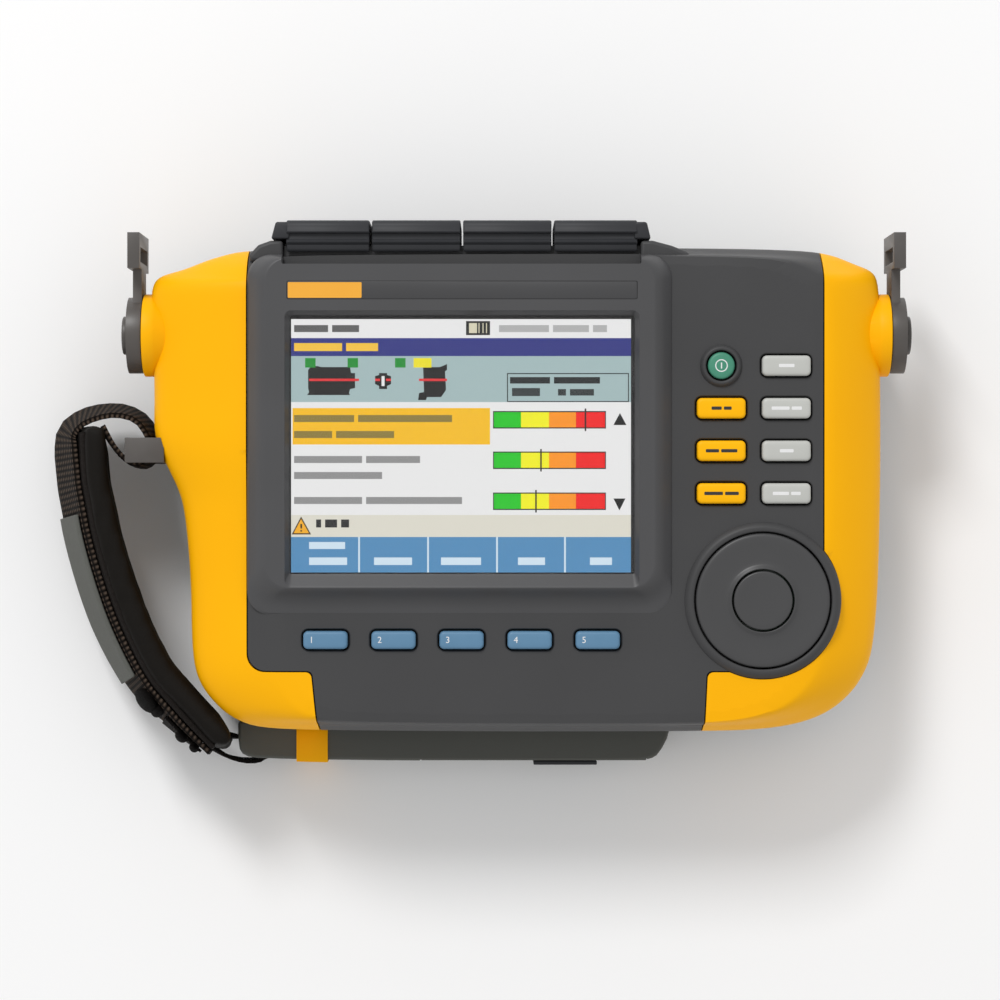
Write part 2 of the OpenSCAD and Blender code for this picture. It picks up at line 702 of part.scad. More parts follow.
module display_window() {
    color([0.1, 0.1, 0.12, 0.6]) placed()
        box([screen_x - screen_w/2 + seat_gap, screen_y - screen_h/2 + seat_gap, module_top + seat_gap],
            [screen_x + screen_w/2 - seat_gap, screen_y + screen_h/2 - seat_gap,
             module_top + seat_gap + window_t]);
}
module display_module() {
    color([0.55, 0.6, 0.65]) placed()
        box([screen_x - screen_w/2 - module_frame, screen_y - screen_h/2 - module_frame,
             module_top - module_t],
            [screen_x + screen_w/2 + module_frame, screen_y + screen_h/2 + module_frame, module_top]);
}
module nameplate() {
    color([0.15, 0.15, 0.15]) placed()
        box([screen_x - plate_w/2 + seat_gap, plate_y - plate_h/2 + seat_gap, block_z - plate_t],
            [screen_x + plate_w/2 - seat_gap, plate_y + plate_h/2 - seat_gap, block_z]);
}

// Posts under the face that hold the keypad board down, between the keys
module board_posts(z0, z1, r) {
    middle_x = (key_col_1 + key_col_2)/2;
    for (k = [0.5, 2.5])
        translate([middle_x, key_row_1 - key_pitch*k, z0]) cylinder(r = r, h = z1 - z0);
    for (k = [0.5, 3.5]) translate([function_key_x + function_key_pitch*k, function_key_y, z0])
        cylinder(r = r, h = z1 - z0);
}

// Mat and board under the keys, open below the direction disc
module keypad_area(z, t) {
    difference() {
        union() {
            box([key_col_1 - key_w/2 - board_margin, disc_y - disc_r, z],
                [key_col_2 + key_w/2, key_row_1 + key_h/2 + board_margin, z + t]);
            box([function_key_x - function_key_w/2 - board_margin, function_key_y - function_key_h/2, z],
                [key_col_1, function_key_y + function_key_h/2, z + t]);
        }
        translate([disc_x, disc_y, z - over]) cylinder(r = cradle_r + board_margin/2, h = t + 2*over);
    }
}
module keypad_mat() {
    color([0.3, 0.3, 0.32]) placed() difference() {
        keypad_area(mat_top - mat_t, mat_t);
        board_posts(mat_top - mat_t - over, face_z, post_pin_r + key_gap);
    }
}
module keypad_board() {
    z = mat_top - mat_t - board_t;
    color([0.1, 0.4, 0.2]) placed() {
        keypad_area(z, board_t);
        translate([disc_x, disc_y, z - board_t]) cylinder(r = cradle_r + board_margin, h = board_t);
        for (s = [-1, 1]) translate([disc_x, disc_y + s*(cradle_r - cradle_w/2), z - over/2])
            cylinder(r = cradle_w/3, h = tilt_z - cradle_t/2 - cover_in_gap - z + over/2);
    }
}
module main_board() {
    z = battery_z + battery_t + bay_gap + bay_wall + seat_gap;
    color([0.08, 0.35, 0.2]) placed()
        box([-0.72*case_reach, -0.67*case_rise, z], [0.72*case_reach, 0.76*case_rise, z + board_t]);
}

// Sockets stand on a panel that closes the end of the case. Each lies along Y at its own place
function cover_x(i) = cover_row_x - cover_row_w/2 + (i == 0 ? end_cover_w/2
    : i == 3 ? cover_row_w - end_cover_w/2
    : end_cover_w + cover_gap + mid_cover_w/2 + (i - 1)*(mid_cover_w + cover_gap));
module at_socket(i) {
    translate([cover_x(i), socket_back, socket_z]) rotate([-90, 0, 0]) children();
}
socket_l = panel_y + socket_out - socket_back;
module socket_panel() {
    color([0.2, 0.2, 0.2]) placed() difference() {
        box([cover_row_x - cover_row_w/2 - shelf_margin, panel_y - panel_t, panel_low],
            [cover_row_x + cover_row_w/2 + shelf_margin, panel_y, panel_high]);
        at_socket(0) cylinder(r = sensor_r + seat_gap, h = 2*socket_l);
        at_socket(1) cylinder(r = speed_r + seat_gap, h = 2*socket_l);
        at_socket(2) translate([-usb_w/2 - seat_gap, -usb_h/2 - seat_gap, 0])
            cube([usb_w + 2*seat_gap, usb_h + 2*seat_gap, 2*socket_l]);
        at_socket(3) cylinder(r = power_socket_r + seat_gap, h = 2*socket_l);
    }
}
// A round socket: a tube with a cup at its outer end, contact holes in the cup's floor, or one pin,
// and a flange on the panel
module round_socket(r, cup_r, pin_r, pins) {
    difference() {
        union() {
            cylinder(r = r, h = socket_l);
            translate([0, 0, panel_y - socket_back + seat_gap])
                cylinder(r = r + panel_margin, h = panel_margin);
        }
        translate([0, 0, socket_l - socket_cup_l]) cylinder(r = cup_r, h = socket_cup_l + over);
        if (pins > 1) for (k = [0:pins - 1]) rotate(360*k/pins)
            translate([cup_r/2, 0, socket_l - socket_cup_l - contact_depth])
                cylinder(r = pin_r, h = contact_depth + over);
    }
    if (pins == 1)
        translate([0, 0, socket_l - socket_cup_l - over]) cylinder(r = pin_r, h = socket_cup_l);
}
module sensor_socket() {
    color([0.7, 0.7, 0.72]) placed() at_socket(0)
        round_socket(sensor_r, sensor_cup_r, contact_share*sensor_cup_r, 8);
}
module speed_socket() {
    color([0.7, 0.7, 0.72]) placed() at_socket(1)
        round_socket(speed_r, speed_cup_r, contact_share*speed_cup_r, 6);
}
module usb_socket() {
    color([0.75, 0.75, 0.77]) placed() at_socket(2) {
        difference() {
            translate([-usb_w/2, -usb_h/2, 0]) cube([usb_w, usb_h, socket_l]);
            translate([-usb_w/2 + usb_wall, -usb_h/2 + usb_wall, socket_l - socket_cup_l])
                cube([usb_w - 2*usb_wall, usb_h - 2*usb_wall, socket_cup_l + over]);
        }
        translate([-usb_w/2 + 2*usb_wall, 0, socket_l - socket_cup_l - over])
            cube([usb_w - 4*usb_wall, usb_tongue, socket_cup_l]);
    }
}
module power_socket() {
    color([0.1, 0.1, 0.1]) placed() at_socket(3) round_socket(power_socket_r, power_cup_r, power_pin_r, 1);
}

module cover_wing(side, from, reach) {
    low_y = cover_back + wing_in;
    high_y = cover_front - wing_in/2;
    translate([0, 0, hinge_z]) linear_extrude(height = cover_lip_z - hinge_z)
        polygon([[side*(from - over), low_y], [side*(from + reach), low_y],
            [side*(from + wing_end_share*reach), high_y], [side*(from - over), high_y]]);
}

// A rubber cover: a cap over its socket, hinged along its lower outer edge, with a lip on the shelf
module socket_cover(i) {
    w = i == 0 || i == 3 ? end_cover_w : mid_cover_w;
    color([0.22, 0.22, 0.23]) placed() translate([cover_x(i), 0, 0]) {
        difference() {
            box([-w/2, cover_back, hinge_z], [w/2, cover_front, cover_lip_z + cover_lip_t]);
            box([-w/2 + cover_wall, cover_back - over, hinge_z + cover_wall],
                [w/2 - cover_wall, cover_front - cover_wall, cover_lip_z - cover_wall]);
        }
        box([-w/2, cover_back - cover_lip_reach, cover_lip_z],
            [w/2, cover_back + over, cover_lip_z + cover_lip_t]);
        // The two end covers reach on past the recess, in a wing with a slanted end
        if (i == 0 || i == 3) cover_wing(i == 0 ? -1 : 1, w/2, i == 0 ? wing_left : wing_right);
    }
}
module cover_sensor() {
    socket_cover(0);
}
module cover_speed() {
    socket_cover(1);
}
module cover_usb() {
    socket_cover(2);
}
module cover_power() {
    socket_cover(3);
}
module cover_strip() {
    color([0.2, 0.2, 0.2]) placed()
        box([cover_row_x - cover_row_w/2 - strip_left, cover_back - soft_gap, strip_z],
            [cover_row_x + cover_row_w/2 + strip_right, cover_front, hinge_z - strip_gap]);
}

// Battery pack: a shell round its cells. It slides out of the lower end with its latch
battery_mid = [battery_x, battery_y + battery_l/2, battery_z + battery_t/2];
module battery_pack() {
    color([0.2, 0.2, 0.2]) placed() difference() {
        box([battery_x - battery_w/2, battery_y, battery_z],
            [battery_x + battery_w/2, battery_y + battery_l, battery_z + battery_t]);
        box([battery_x - battery_w/2 + pack_wall, battery_mid[1] - cell_l/2 - seat_gap,
             battery_mid[2] - cell_r - seat_gap],
            [battery_x + battery_w/2 - pack_wall, battery_mid[1] + cell_l/2 + seat_gap,
             battery_mid[2] + cell_r + seat_gap]);
        translate([battery_x + latch_offset - latch_key_w/2 - latch_travel - latch_gap, battery_y - over,
            battery_mid[2] - latch_key_w/2 - latch_gap])
            cube([latch_key_w + 2*latch_travel + 2*latch_gap, over + latch_key_d + latch_gap,
                latch_key_w + 2*latch_gap]);
    }
}
module battery_cells() {
    cell_step = (battery_w - 2*pack_wall)/cell_count;
    color([0.2, 0.45, 0.75]) placed() for (k = [0:cell_count - 1])
        translate([battery_x + cell_step*(k - (cell_count - 1)/2), battery_mid[1] - cell_l/2,
            battery_mid[2]]) rotate([-90, 0, 0]) cylinder(r = cell_r, h = cell_l);
}
module battery_latch() {
    color([0.15, 0.15, 0.15]) placed() translate([battery_x + latch_offset, battery_y, battery_mid[2]]) {
        translate([-latch_w/2, -latch_gap - bay_gap - latch_t, -latch_h/2])
            cube([latch_w, latch_t, latch_h]);
        translate([-latch_key_w/2, -latch_gap - bay_gap - latch_t/2, -latch_key_w/2])
            cube([latch_key_w, latch_key_d + latch_gap + bay_gap + latch_t/2, latch_key_w]);
    }
}
module battery_contacts() {
    color([0.8, 0.65, 0.3]) placed()
        box([battery_x - contact_w/2, battery_y + battery_l + bay_gap, battery_mid[2] - contact_h/2],
            [battery_x + contact_w/2, battery_y + battery_l + bay_gap + contact_t,
             battery_mid[2] + contact_h/2]);
}

module case_screws() {
    color([0.75, 0.75, 0.75]) placed() for (s = screw_shares)
        translate([case_reach*s[0], case_rise*s[1], foot_pad_h]) {
            difference() {
                cylinder(r = screw_head_r, h = screw_head_t);
                translate([0, 0, -over]) cylinder(r = 0.5*screw_head_r, h = over + screw_head_t/2, $fn = 6);
            }
            translate([0, 0, screw_head_t - over/2]) cylinder(r = screw_r, h = screw_l);
        }
}
module rear_feet() {
    color([0.12, 0.12, 0.12]) placed() for (s = pad_shares)
        translate([case_reach*s[0], case_rise*s[1], 0])
            cylinder(r = foot_pad_r, h = foot_pad_h + foot_pad_seat);
}

// A strap lug turns on a post that is pressed into its boss
module lug_post(side) {
    color([0.35, 0.34, 0.33]) placed()
        translate([side*(case_reach - post_depth), lug_y, lug_z]) rotate([0, side*90, 0]) {
            cylinder(r = post_r, h = post_depth + boss_out + 2*lug_gap + lug_t);
            translate([0, 0, post_depth + boss_out + 2*lug_gap + lug_t])
                cylinder(r = post_head_r, h = post_head_t);
        }
}
module lug(side) {
    inner_x = case_reach + boss_out + lug_gap;
    color([0.37, 0.36, 0.35]) placed() translate([side*inner_x, lug_y, lug_z])
        rotate([0, side*90, 0]) difference() {
            union() {
                cylinder(r = lug_r, h = lug_t);
                translate([-neck_w/2, 0, 0]) cube([neck_w, loop_foot + over, neck_t]);
                translate([-loop_w/2, loop_foot, 0]) cube([loop_w, loop_reach - loop_foot, loop_t]);
            }
            translate([0, 0, -over]) cylinder(r = post_r + post_gap, h = lug_t + 2*over);
            translate([-slot_w/2, loop_reach - loop_bar - slot_h, -over])
                cube([slot_w, slot_h, lug_t + 2*over]);
        }
}
module lug_post_left() {
    lug_post(-1);
}
module lug_post_right() {
    lug_post(1);
}
module lug_left() {
    lug(-1);
}
module lug_right() {
    lug(1);
}

// Bracket of the hand strap: a base on the case and two arms that hold the upper pin
module strap_bracket() {
    arm_in = -case_reach + bracket_base;
    color([0.36, 0.36, 0.37]) placed() difference() {
        for (z = [bracket_z, bracket_top - arm_t])
            box([pin_x - arm_reach, pin_y - arm_reach, z], [arm_in, pin_y + arm_reach, z + arm_t]);
        skin(front_rings(0, rear_top - over));
        skin(rear_rings);
        translate([pin_x, pin_y, 0]) cylinder(r = strap_pin_r, h = bracket_top - pin_cap);
    }
}
module strap_pin_upper() {
    color([0.7, 0.7, 0.7]) placed() translate([pin_x, pin_y, bracket_z])
        cylinder(r = strap_pin_r, h = bracket_top - pin_cap - bracket_z);
}
module strap_pin_lower() {
    color([0.7, 0.7, 0.7]) placed() translate([low_pin_x, low_pin_y, notch_low - foot_pad_h])
        cylinder(r = strap_pin_r, h = 2*low_pin_z - 2*notch_low + 2*foot_pad_h);
}

module strap_webbing() {
    color([0.17, 0.16, 0.15]) placed()
        skin(concat([for (i = [0:len(web_arc) - 1]) band_ring(web_path, i, 0, web_t, web_w)],
            [for (i = [pad_start:len(spine) - 1]) band_ring(spine, i, web_mid, web_t, web_w)]));
}
module strap_pad() {
    last = len(spine) - 1;
    color([0.15, 0.14, 0.13]) placed()
        skin([for (i = [0:last]) pad_ring(spine, i, pad_t, pad_w, i == 0 || i == last ? 0.92 : 1)]);
}
module strap_patch() {
    color([0.42, 0.42, 0.4]) placed()
        skin([for (i = [patch_first:patch_last]) band_ring(spine, i, patch_mid, patch_t, patch_w)]);
}
module strap_tab() {
    color([0.2, 0.19, 0.18]) placed()
        skin([for (i = [tab_first:tab_last]) band_ring(spine, i, web_mid - (web_t + tab_t)/2 - layer_gap,
            tab_t, tab_w)]);
}
module strap_lower_loop() {
    color([0.2, 0.19, 0.18]) placed()
        skin([for (i = [0:len(low_path) - 1]) band_ring(low_path, i, 0, low_web_t, low_web_w)]);
}

// A key: a body in its hole, and a smaller crown on top
module key_cap(w, h) {
    translate([0, 0, key_bottom])
        round_plate(w, h, key_corner_r, face_z + key_rise - key_crown - key_bottom);
    translate([0, 0, face_z + key_rise - key_crown - over/2])
        round_plate(w - 2*key_crown, h - 2*key_crown, key_corner_r - key_crown/2, key_crown + over/2);
}
module face_key(col, row, tint) {
    color(tint) placed() translate([col, key_row_1 - key_pitch*row, 0]) key_cap(key_w, key_h);
}
module function_key(i) {
    color([0.36, 0.53, 0.66]) placed()
        translate([function_key_x + function_key_pitch*i, function_key_y, 0])
            key_cap(function_key_w, function_key_h);
}
yellow_tint = [0.98, 0.76, 0.05];
grey_tint = [0.73, 0.73, 0.71];
module key_f1() {
    function_key(0);
}
module key_f2() {
    function_key(1);
}
module key_f3() {
    function_key(2);
}
module key_f4() {
    function_key(3);
}
module key_f5() {
    function_key(4);
}
module key_yellow_1() {
    face_key(key_col_1, 1, yellow_tint);
}
module key_yellow_2() {
    face_key(key_col_1, 2, yellow_tint);
}
module key_yellow_3() {
    face_key(key_col_1, 3, yellow_tint);
}
module key_grey_1() {
    face_key(key_col_2, 0, grey_tint);
}
module key_grey_2() {
    face_key(key_col_2, 1, grey_tint);
}
module key_grey_3() {
    face_key(key_col_2, 2, grey_tint);
}
module key_grey_4() {
    face_key(key_col_2, 3, grey_tint);
}
module key_power() {
    color([0.3, 0.57, 0.48]) placed() translate([key_col_1, key_row_1, key_bottom]) {
        cylinder(r = power_r, h = face_z + power_collar_rise - key_crown - key_bottom);
        cylinder(r = power_r - key_crown, h = face_z + power_collar_rise - key_bottom);
    }
}

// Direction disc on a cradle: the cradle rocks on two posts of the board, the disc on the cradle
module disc_cradle() {
    color([0.5, 0.5, 0.5]) placed() translate([disc_x, disc_y, tilt_z - cradle_t/2]) difference() {
        cylinder(r = cradle_r, h = cradle_t);
        translate([0, 0, -over]) cylinder(r = cradle_r - cradle_w, h = cradle_t + 2*over);
    }
}
module direction_disc() {
    hub_low = tilt_z + cradle_t/2 + cover_in_gap;
    color([0.3, 0.3, 0.3]) placed() translate([disc_x, disc_y, 0]) {
        difference() {
            translate([0, 0, disc_top - disc_t]) cylinder(r = disc_r, h = disc_t);
            translate([0, 0, disc_top - disc_t - over]) cylinder(r = disc_bore_r, h = disc_t + 2*over);
            translate([0, 0, disc_top - disc_dish]) difference() {
                cylinder(r = disc_r - rim_w, h = disc_dish + over);
                cylinder(r = disc_bore_r + rim_w/2, h = disc_dish + over);
            }
        }
        for (s = [-1, 1]) translate([s*(cradle_r - cradle_w/2), 0, hub_low])
            cylinder(r = cradle_w/3, h = disc_top - disc_t + over/2 - hub_low);
    }
}
module enter_key() {
    stem_low = mat_top - mat_t - board_t + key_travel + seat_gap;
    color([0.33, 0.33, 0.33]) placed() translate([disc_x, disc_y, 0]) {
        translate([0, 0, inner_face_z]) {
            cylinder(r = enter_r, h = face_z + enter_rise - key_crown - inner_face_z);
            cylinder(r = enter_r - key_crown, h = face_z + enter_rise - inner_face_z);
        }
        translate([0, 0, stem_low]) cylinder(r = enter_r/2, h = inner_face_z - stem_low + over/2);
    }
}

front_case();
grip_left();
side_right();
rear_case();
case_seal();
band_stripe();
display_window();
display_module();
keypad_mat();
keypad_board();
main_board();
socket_panel();
sensor_socket();
speed_socket();
usb_socket();
power_socket();
nameplate();
battery_pack();
battery_cells();
battery_latch();
battery_contacts();
case_screws();
rear_feet();
lug_post_left();
lug_post_right();
lug_left();
lug_right();
strap_webbing();
strap_pad();
strap_patch();
strap_tab();
strap_lower_loop();
strap_bracket();
strap_pin_upper();
strap_pin_lower();
cover_strip();
cover_sensor();
cover_speed();
cover_usb();
cover_power();
key_f1();
key_f2();
key_f3();
key_f4();
key_f5();
key_power();
key_yellow_1();
key_yellow_2();
key_yellow_3();
key_grey_1();
key_grey_2();
key_grey_3();
key_grey_4();
disc_cradle();
direction_disc();
enter_key();
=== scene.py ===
import bpy
import math
from mathutils import Matrix, Vector
from mathutils.kdtree import KDTree


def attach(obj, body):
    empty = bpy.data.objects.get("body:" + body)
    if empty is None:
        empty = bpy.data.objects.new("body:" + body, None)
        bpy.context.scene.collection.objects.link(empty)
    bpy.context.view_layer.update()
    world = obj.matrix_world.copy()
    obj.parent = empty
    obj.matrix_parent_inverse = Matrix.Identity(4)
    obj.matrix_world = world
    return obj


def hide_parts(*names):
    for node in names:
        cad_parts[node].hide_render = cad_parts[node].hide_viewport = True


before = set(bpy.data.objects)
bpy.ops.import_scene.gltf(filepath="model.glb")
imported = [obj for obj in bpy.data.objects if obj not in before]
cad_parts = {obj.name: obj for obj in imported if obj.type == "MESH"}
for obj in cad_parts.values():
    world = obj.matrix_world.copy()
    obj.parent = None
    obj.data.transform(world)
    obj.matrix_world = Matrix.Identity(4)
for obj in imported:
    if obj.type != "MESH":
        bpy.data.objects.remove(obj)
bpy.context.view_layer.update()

# Everything is modelled in millimetres about the middle of the case, and settle() moves it to its place
caseMiddle = Vector((13.9884, 2.8, 0.0))
toRow = Matrix.Translation(caseMiddle * 0.001) @ Matrix.Scale(0.001, 4)

case = dict(reach=124.0, rise=82.0, faceZ=64.0, frontZ=28.5, rearTop=27.5, foot=1.5,
            yellowWall=2.4, wall=2.6, groove=0.22)

# Outline of the case seen from above, as shares of its reach and rise
outlineShares = [(-0.740, 0.989), (-0.484, 0.994), (0, 0.998), (0.484, 0.998), (0.766, 0.990),
                 (0.862, 0.972), (0.925, 0.930), (0.972, 0.905), (0.992, 0.860), (0.995, 0.671),
                 (0.997, 0.244), (0.996, -0.061), (0.989, -0.462), (0.975, -0.670), (0.956, -0.754),
                 (0.923, -0.837), (0.862, -0.920), (0.782, -0.971), (0.669, -0.999), (0.505, -1.005),
                 (0, -1.007), (-0.484, -1.002), (-0.699, -0.994), (-0.763, -0.961), (-0.806, -0.920),
                 (-0.856, -0.837), (-0.881, -0.754), (-0.890, -0.628), (-0.891, -0.427), (-0.898, -0.254),
                 (-0.910, -0.085), (-0.925, -0.005), (-0.952, 0.078), (-0.979, 0.161), (-0.994, 0.244),
                 (-0.991, 0.390), (-0.996, 0.610), (-1.001, 0.785), (-0.996, 0.851), (-0.972, 0.885),
                 (-0.915, 0.905), (-0.855, 0.943), (-0.802, 0.968)]
# Shares of the left, right and end reach, and of the way up
frontShares = [(1, 1, 1, 0), (1, 1, 1, 0.52), (0.993, 0.993, 0.991, 0.606), (0.975, 0.978, 0.979, 0.679),
               (0.94, 0.955, 0.968, 0.752), (0.88, 0.922, 0.962, 0.845), (0.8, 0.88, 0.957, 0.941),
               (0.74, 0.845, 0.952, 1), (0.70, 0.815, 0.93, 1)]
rearShares = [(0.935, 0.935, 0.915, 0), (0.955, 0.955, 0.935, 0), (0.972, 0.972, 0.96, 0.04),
              (0.988, 0.988, 0.982, 0.14), (0.998, 0.998, 0.996, 0.34), (1, 1, 1, 0.6), (1, 1, 1, 1)]


def deselect():
    if bpy.context.mode != "OBJECT":
        bpy.ops.object.mode_set(mode="OBJECT")
    bpy.ops.object.select_all(action="DESELECT")


def pick(obj):
    deselect()
    obj.select_set(True)
    bpy.context.view_layer.objects.active = obj
    return obj


def apply(obj, kind, **settings):
    pick(obj)
    modifier = obj.modifiers.new(kind, kind)
    for key, value in settings.items():
        setattr(modifier, key, value)
    bpy.ops.object.modifier_apply(modifier=modifier.name)
    return obj


def carve(obj, tool, operation="DIFFERENCE", keepTool=False):
    apply(obj, "BOOLEAN", object=tool, operation=operation, solver="EXACT")
    if not keepTool:
        bpy.data.objects.remove(tool)
    return obj


def join(objs, name):
    deselect()
    for obj in objs:
        obj.select_set(True)
    bpy.context.view_layer.objects.active = objs[0]
    bpy.ops.object.join()
    objs[0].name = name
    return objs[0]


def duplicate(obj, name):
    copy = obj.copy()
    copy.data = obj.data.copy()
    copy.name = name
    bpy.context.collection.objects.link(copy)
    return copy


def moved(obj, x=0.0, y=0.0, z=0.0):
    obj.data.transform(Matrix.Translation((x, y, z)))
    return obj


def rounded(obj, width, segments=2, angle=35):
    return apply(obj, "BEVEL", width=width, segments=segments, limit_method="ANGLE",
                 angle_limit=math.radians(angle), use_clamp_overlap=True)


def smoothed(obj, angle=35):
    pick(obj)
    bpy.ops.object.shade_smooth_by_angle(angle=math.radians(angle))
    return obj


def evenlyShaded(obj, angle=35):
    # level faces stay flat beside their rounded edges
    smoothed(obj, angle)
    for face in obj.data.polygons:
        if abs(face.normal.z) > 0.9995:
            face.use_smooth = False
    return apply(obj, "WEIGHTED_NORMAL", keep_sharp=True, weight=50)


def loft(name, rings):
    # a filled circle is extruded once for each ring, and its new loop is moved onto that ring
    deselect()
    bpy.ops.mesh.primitive_circle_add(vertices=len(rings[0]), radius=1, fill_type="NGON")
    obj = bpy.context.object
    obj.name = name
    for vertex, point in zip(obj.data.vertices, rings[0]):
        vertex.co = point
    for before, ring in zip(rings, rings[1:]):
        bpy.ops.object.mode_set(mode="EDIT")
        bpy.ops.mesh.extrude_region_move()
        bpy.ops.object.mode_set(mode="OBJECT")
        finder = KDTree(len(before))
        for i, point in enumerate(before):
            finder.insert(point, i)
        finder.balance()
        for vertex in obj.data.vertices:
            if vertex.select:
                vertex.co = ring[finder.find(vertex.co)[1]]
    bpy.ops.object.mode_set(mode="EDIT")
    bpy.ops.mesh.select_all(action="SELECT")
    bpy.ops.mesh.normals_make_consistent(inside=False)
    bpy.ops.object.mode_set(mode="OBJECT")
    return obj


def turned(name, profile, middle, axis=(0, 0, 1), steps=64):
    # the profile is a loop of (radius, height) points, spun once round the axis
    deselect()
    axis = Vector(axis)
    outward = Vector((1, 0, 0)) if abs(axis.x) < 0.5 else Vector((0, 1, 0))
    bpy.ops.mesh.primitive_circle_add(vertices=len(profile), radius=1, fill_type="NOTHING")
    obj = bpy.context.object
    obj.name = name
    for vertex, (radius, height) in zip(obj.data.vertices, profile):
        vertex.co = Vector(middle) + outward * radius + axis * height
    bpy.ops.object.mode_set(mode="EDIT")
    bpy.ops.mesh.select_all(action="SELECT")
    bpy.ops.mesh.spin(steps=steps, angle=2 * math.pi, center=middle, axis=axis)
    bpy.ops.mesh.select_all(action="SELECT")
    bpy.ops.mesh.remove_doubles(threshold=0.001)
    bpy.ops.mesh.dissolve_degenerate(threshold=0.0005)
    bpy.ops.mesh.select_all(action="SELECT")
    bpy.ops.mesh.normals_make_consistent(inside=False)
    bpy.ops.object.mode_set(mode="OBJECT")
    return obj


def drill(name, r, low, high, middle, axis=(0, 0, 1), steps=64):
    return turned(name, [(0, low), (r, low), (r, high), (0, high)], middle, axis, steps)


def arc(cx, cy, r, start, stop, steps):
    # points on a circle, with the angles in degrees
    turns = [math.radians(start + (stop - start) * i / steps) for i in range(steps + 1)]
    return [(cx + r * math.cos(turn), cy + r * math.sin(turn)) for turn in turns]


def roundRing(x0, x1, y0, y1, r, z, steps=6):
    corners = ((x1 - r, y1 - r, 0), (x0 + r, y1 - r, 90), (x0 + r, y0 + r, 180), (x1 - r, y0 + r, 270))
    return [(x, y, z) for cx, cy, start in corners for x, y in arc(cx, cy, r, start, start + 90, steps)]


def slab(name, x0, x1, y0, y1, z0, z1, r=0.01, steps=6):
    return loft(name, [roundRing(x0, x1, y0, y1, r, z0, steps), roundRing(x0, x1, y0, y1, r, z1, steps)])


def slabAbout(name, x, y, w, h, z0, z1, r=0.01, steps=6):
    return slab(name, x - w / 2, x + w / 2, y - h / 2, y + h / 2, z0, z1, r, steps)


def prism(name, points, z0, z1):
    return loft(name, [[(x, y, z0) for x, y in points], [(x, y, z1) for x, y in points]])


def soften(points, closed=True):
    # cuts each corner at a quarter and three quarters of its sides
    result = [] if closed else [points[0]]
    for i in range(len(points) if closed else len(points) - 1):
        a, b = points[i], points[(i + 1) % len(points)]
        for t in (0.25, 0.75):
            result.append(tuple(p + (q - p) * t for p, q in zip(a, b)))
    return result if closed else result + [points[-1]]


def fromNode(node, name):
    # a merged copy of a CAD node, in millimetres about the middle of the case
    obj = duplicate(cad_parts[node], name)
    obj.data.materials.clear()
    obj.parent = None
    obj.matrix_world = Matrix.Identity(4)
    obj.data.transform(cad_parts[node].matrix_world)
    obj.data.transform(toRow.inverted())
    pick(obj)
    bpy.ops.object.mode_set(mode="EDIT")
    bpy.ops.mesh.select_all(action="SELECT")
    bpy.ops.mesh.remove_doubles(threshold=0.002)
    bpy.ops.mesh.dissolve_limited(angle_limit=math.radians(1))
    bpy.ops.object.mode_set(mode="OBJECT")
    return obj


def settle(obj, material, body, slotName, *nodes):
    obj.data.transform(toRow)
    obj.data.materials.clear()
    obj.data.materials.append(material)
    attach(obj, body)
    if nodes:
        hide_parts(*nodes)
    return obj


# Finishes
def linear(hexColour):
    channels = [int(hexColour[i:i + 2], 16) / 255 for i in (1, 3, 5)]
    return tuple(c / 12.92 if c <= 0.04045 else ((c + 0.055) / 1.055) ** 2.4 for c in channels) + (1.0,)


def addNode(tree, kind, inputs, **settings):
    node = tree.nodes.new(kind)
    for key, value in settings.items():
        setattr(node, key, value)
    for key, value in inputs.items():
        if isinstance(value, bpy.types.NodeSocket):
            tree.links.new(value, node.inputs[key])
        else:
            node.inputs[key].default_value = value
    return node


def newMaterial(name):
    material = bpy.data.materials.new(name)
    material.use_nodes = True
    tree = material.node_tree
    return material, tree, tree.nodes["Principled BSDF"]


def setInputs(node, values):
    for key, value in values.items():
        node.inputs[key].default_value = value


def tint(tree, shader, factor, colour, second):
    blend = addNode(tree, "ShaderNodeMix", {"Factor": factor, 6: linear(colour), 7: linear(second)},
                    data_type="RGBA")
    tree.links.new(blend.outputs[2], shader.inputs["Base Color"])


def relief(tree, shader, height, strength, depth):
    # depth is in millimetres
    bump = addNode(tree, "ShaderNodeBump", {"Height": height, "Strength": strength, "Distance": depth * 0.001})
    tree.links.new(bump.outputs["Normal"], shader.inputs["Normal"])


# A moulded or coated surface: two close colours in soft clouds, a fine grain, and a little wear in the gloss.
# patch, grain and depth are in millimetres
def mouldedFinish(name, colour, second, roughness, grain=0.9, depth=0.02, patch=35.0, coat=0.0, metallic=0.0,
                  gloss=0.5):
    material, tree, shader = newMaterial(name)
    place = addNode(tree, "ShaderNodeTexCoord", {}).outputs["Object"]
    clouds = addNode(tree, "ShaderNodeTexNoise", {"Vector": place, "Scale": 1000 / patch, "Detail": 3.0})
    tint(tree, shader, clouds.outputs["Fac"], colour, second)
    grit = addNode(tree, "ShaderNodeTexNoise", {"Vector": place, "Scale": 1000 / grain, "Detail": 2.0})
    relief(tree, shader, grit.outputs["Fac"], 0.5, depth)
    rough = addNode(tree, "ShaderNodeMapRange", {"Value": clouds.outputs["Fac"], "To Min": roughness - 0.05,
                                                 "To Max": roughness + 0.05})
    tree.links.new(rough.outputs["Result"], shader.inputs["Roughness"])
    setInputs(shader, {"Metallic": metallic, "Coat Weight": coat, "Specular IOR Level": gloss})
    return material


# Spark-eroded ABS: an even dark grey with a fine matt grain, drawn a little coarse so that it shows
darkAbs = mouldedFinish("sparkErodedDarkAbs", "#3d3d3e", "#434344", 0.5, depth=0.03, gloss=0.3)
# The face round the screen is the same plastic with a smoother texture
bezelAbs = mouldedFinish("satinDarkAbs", "#454546", "#4b4b4d", 0.42, depth=0.015, gloss=0.4)
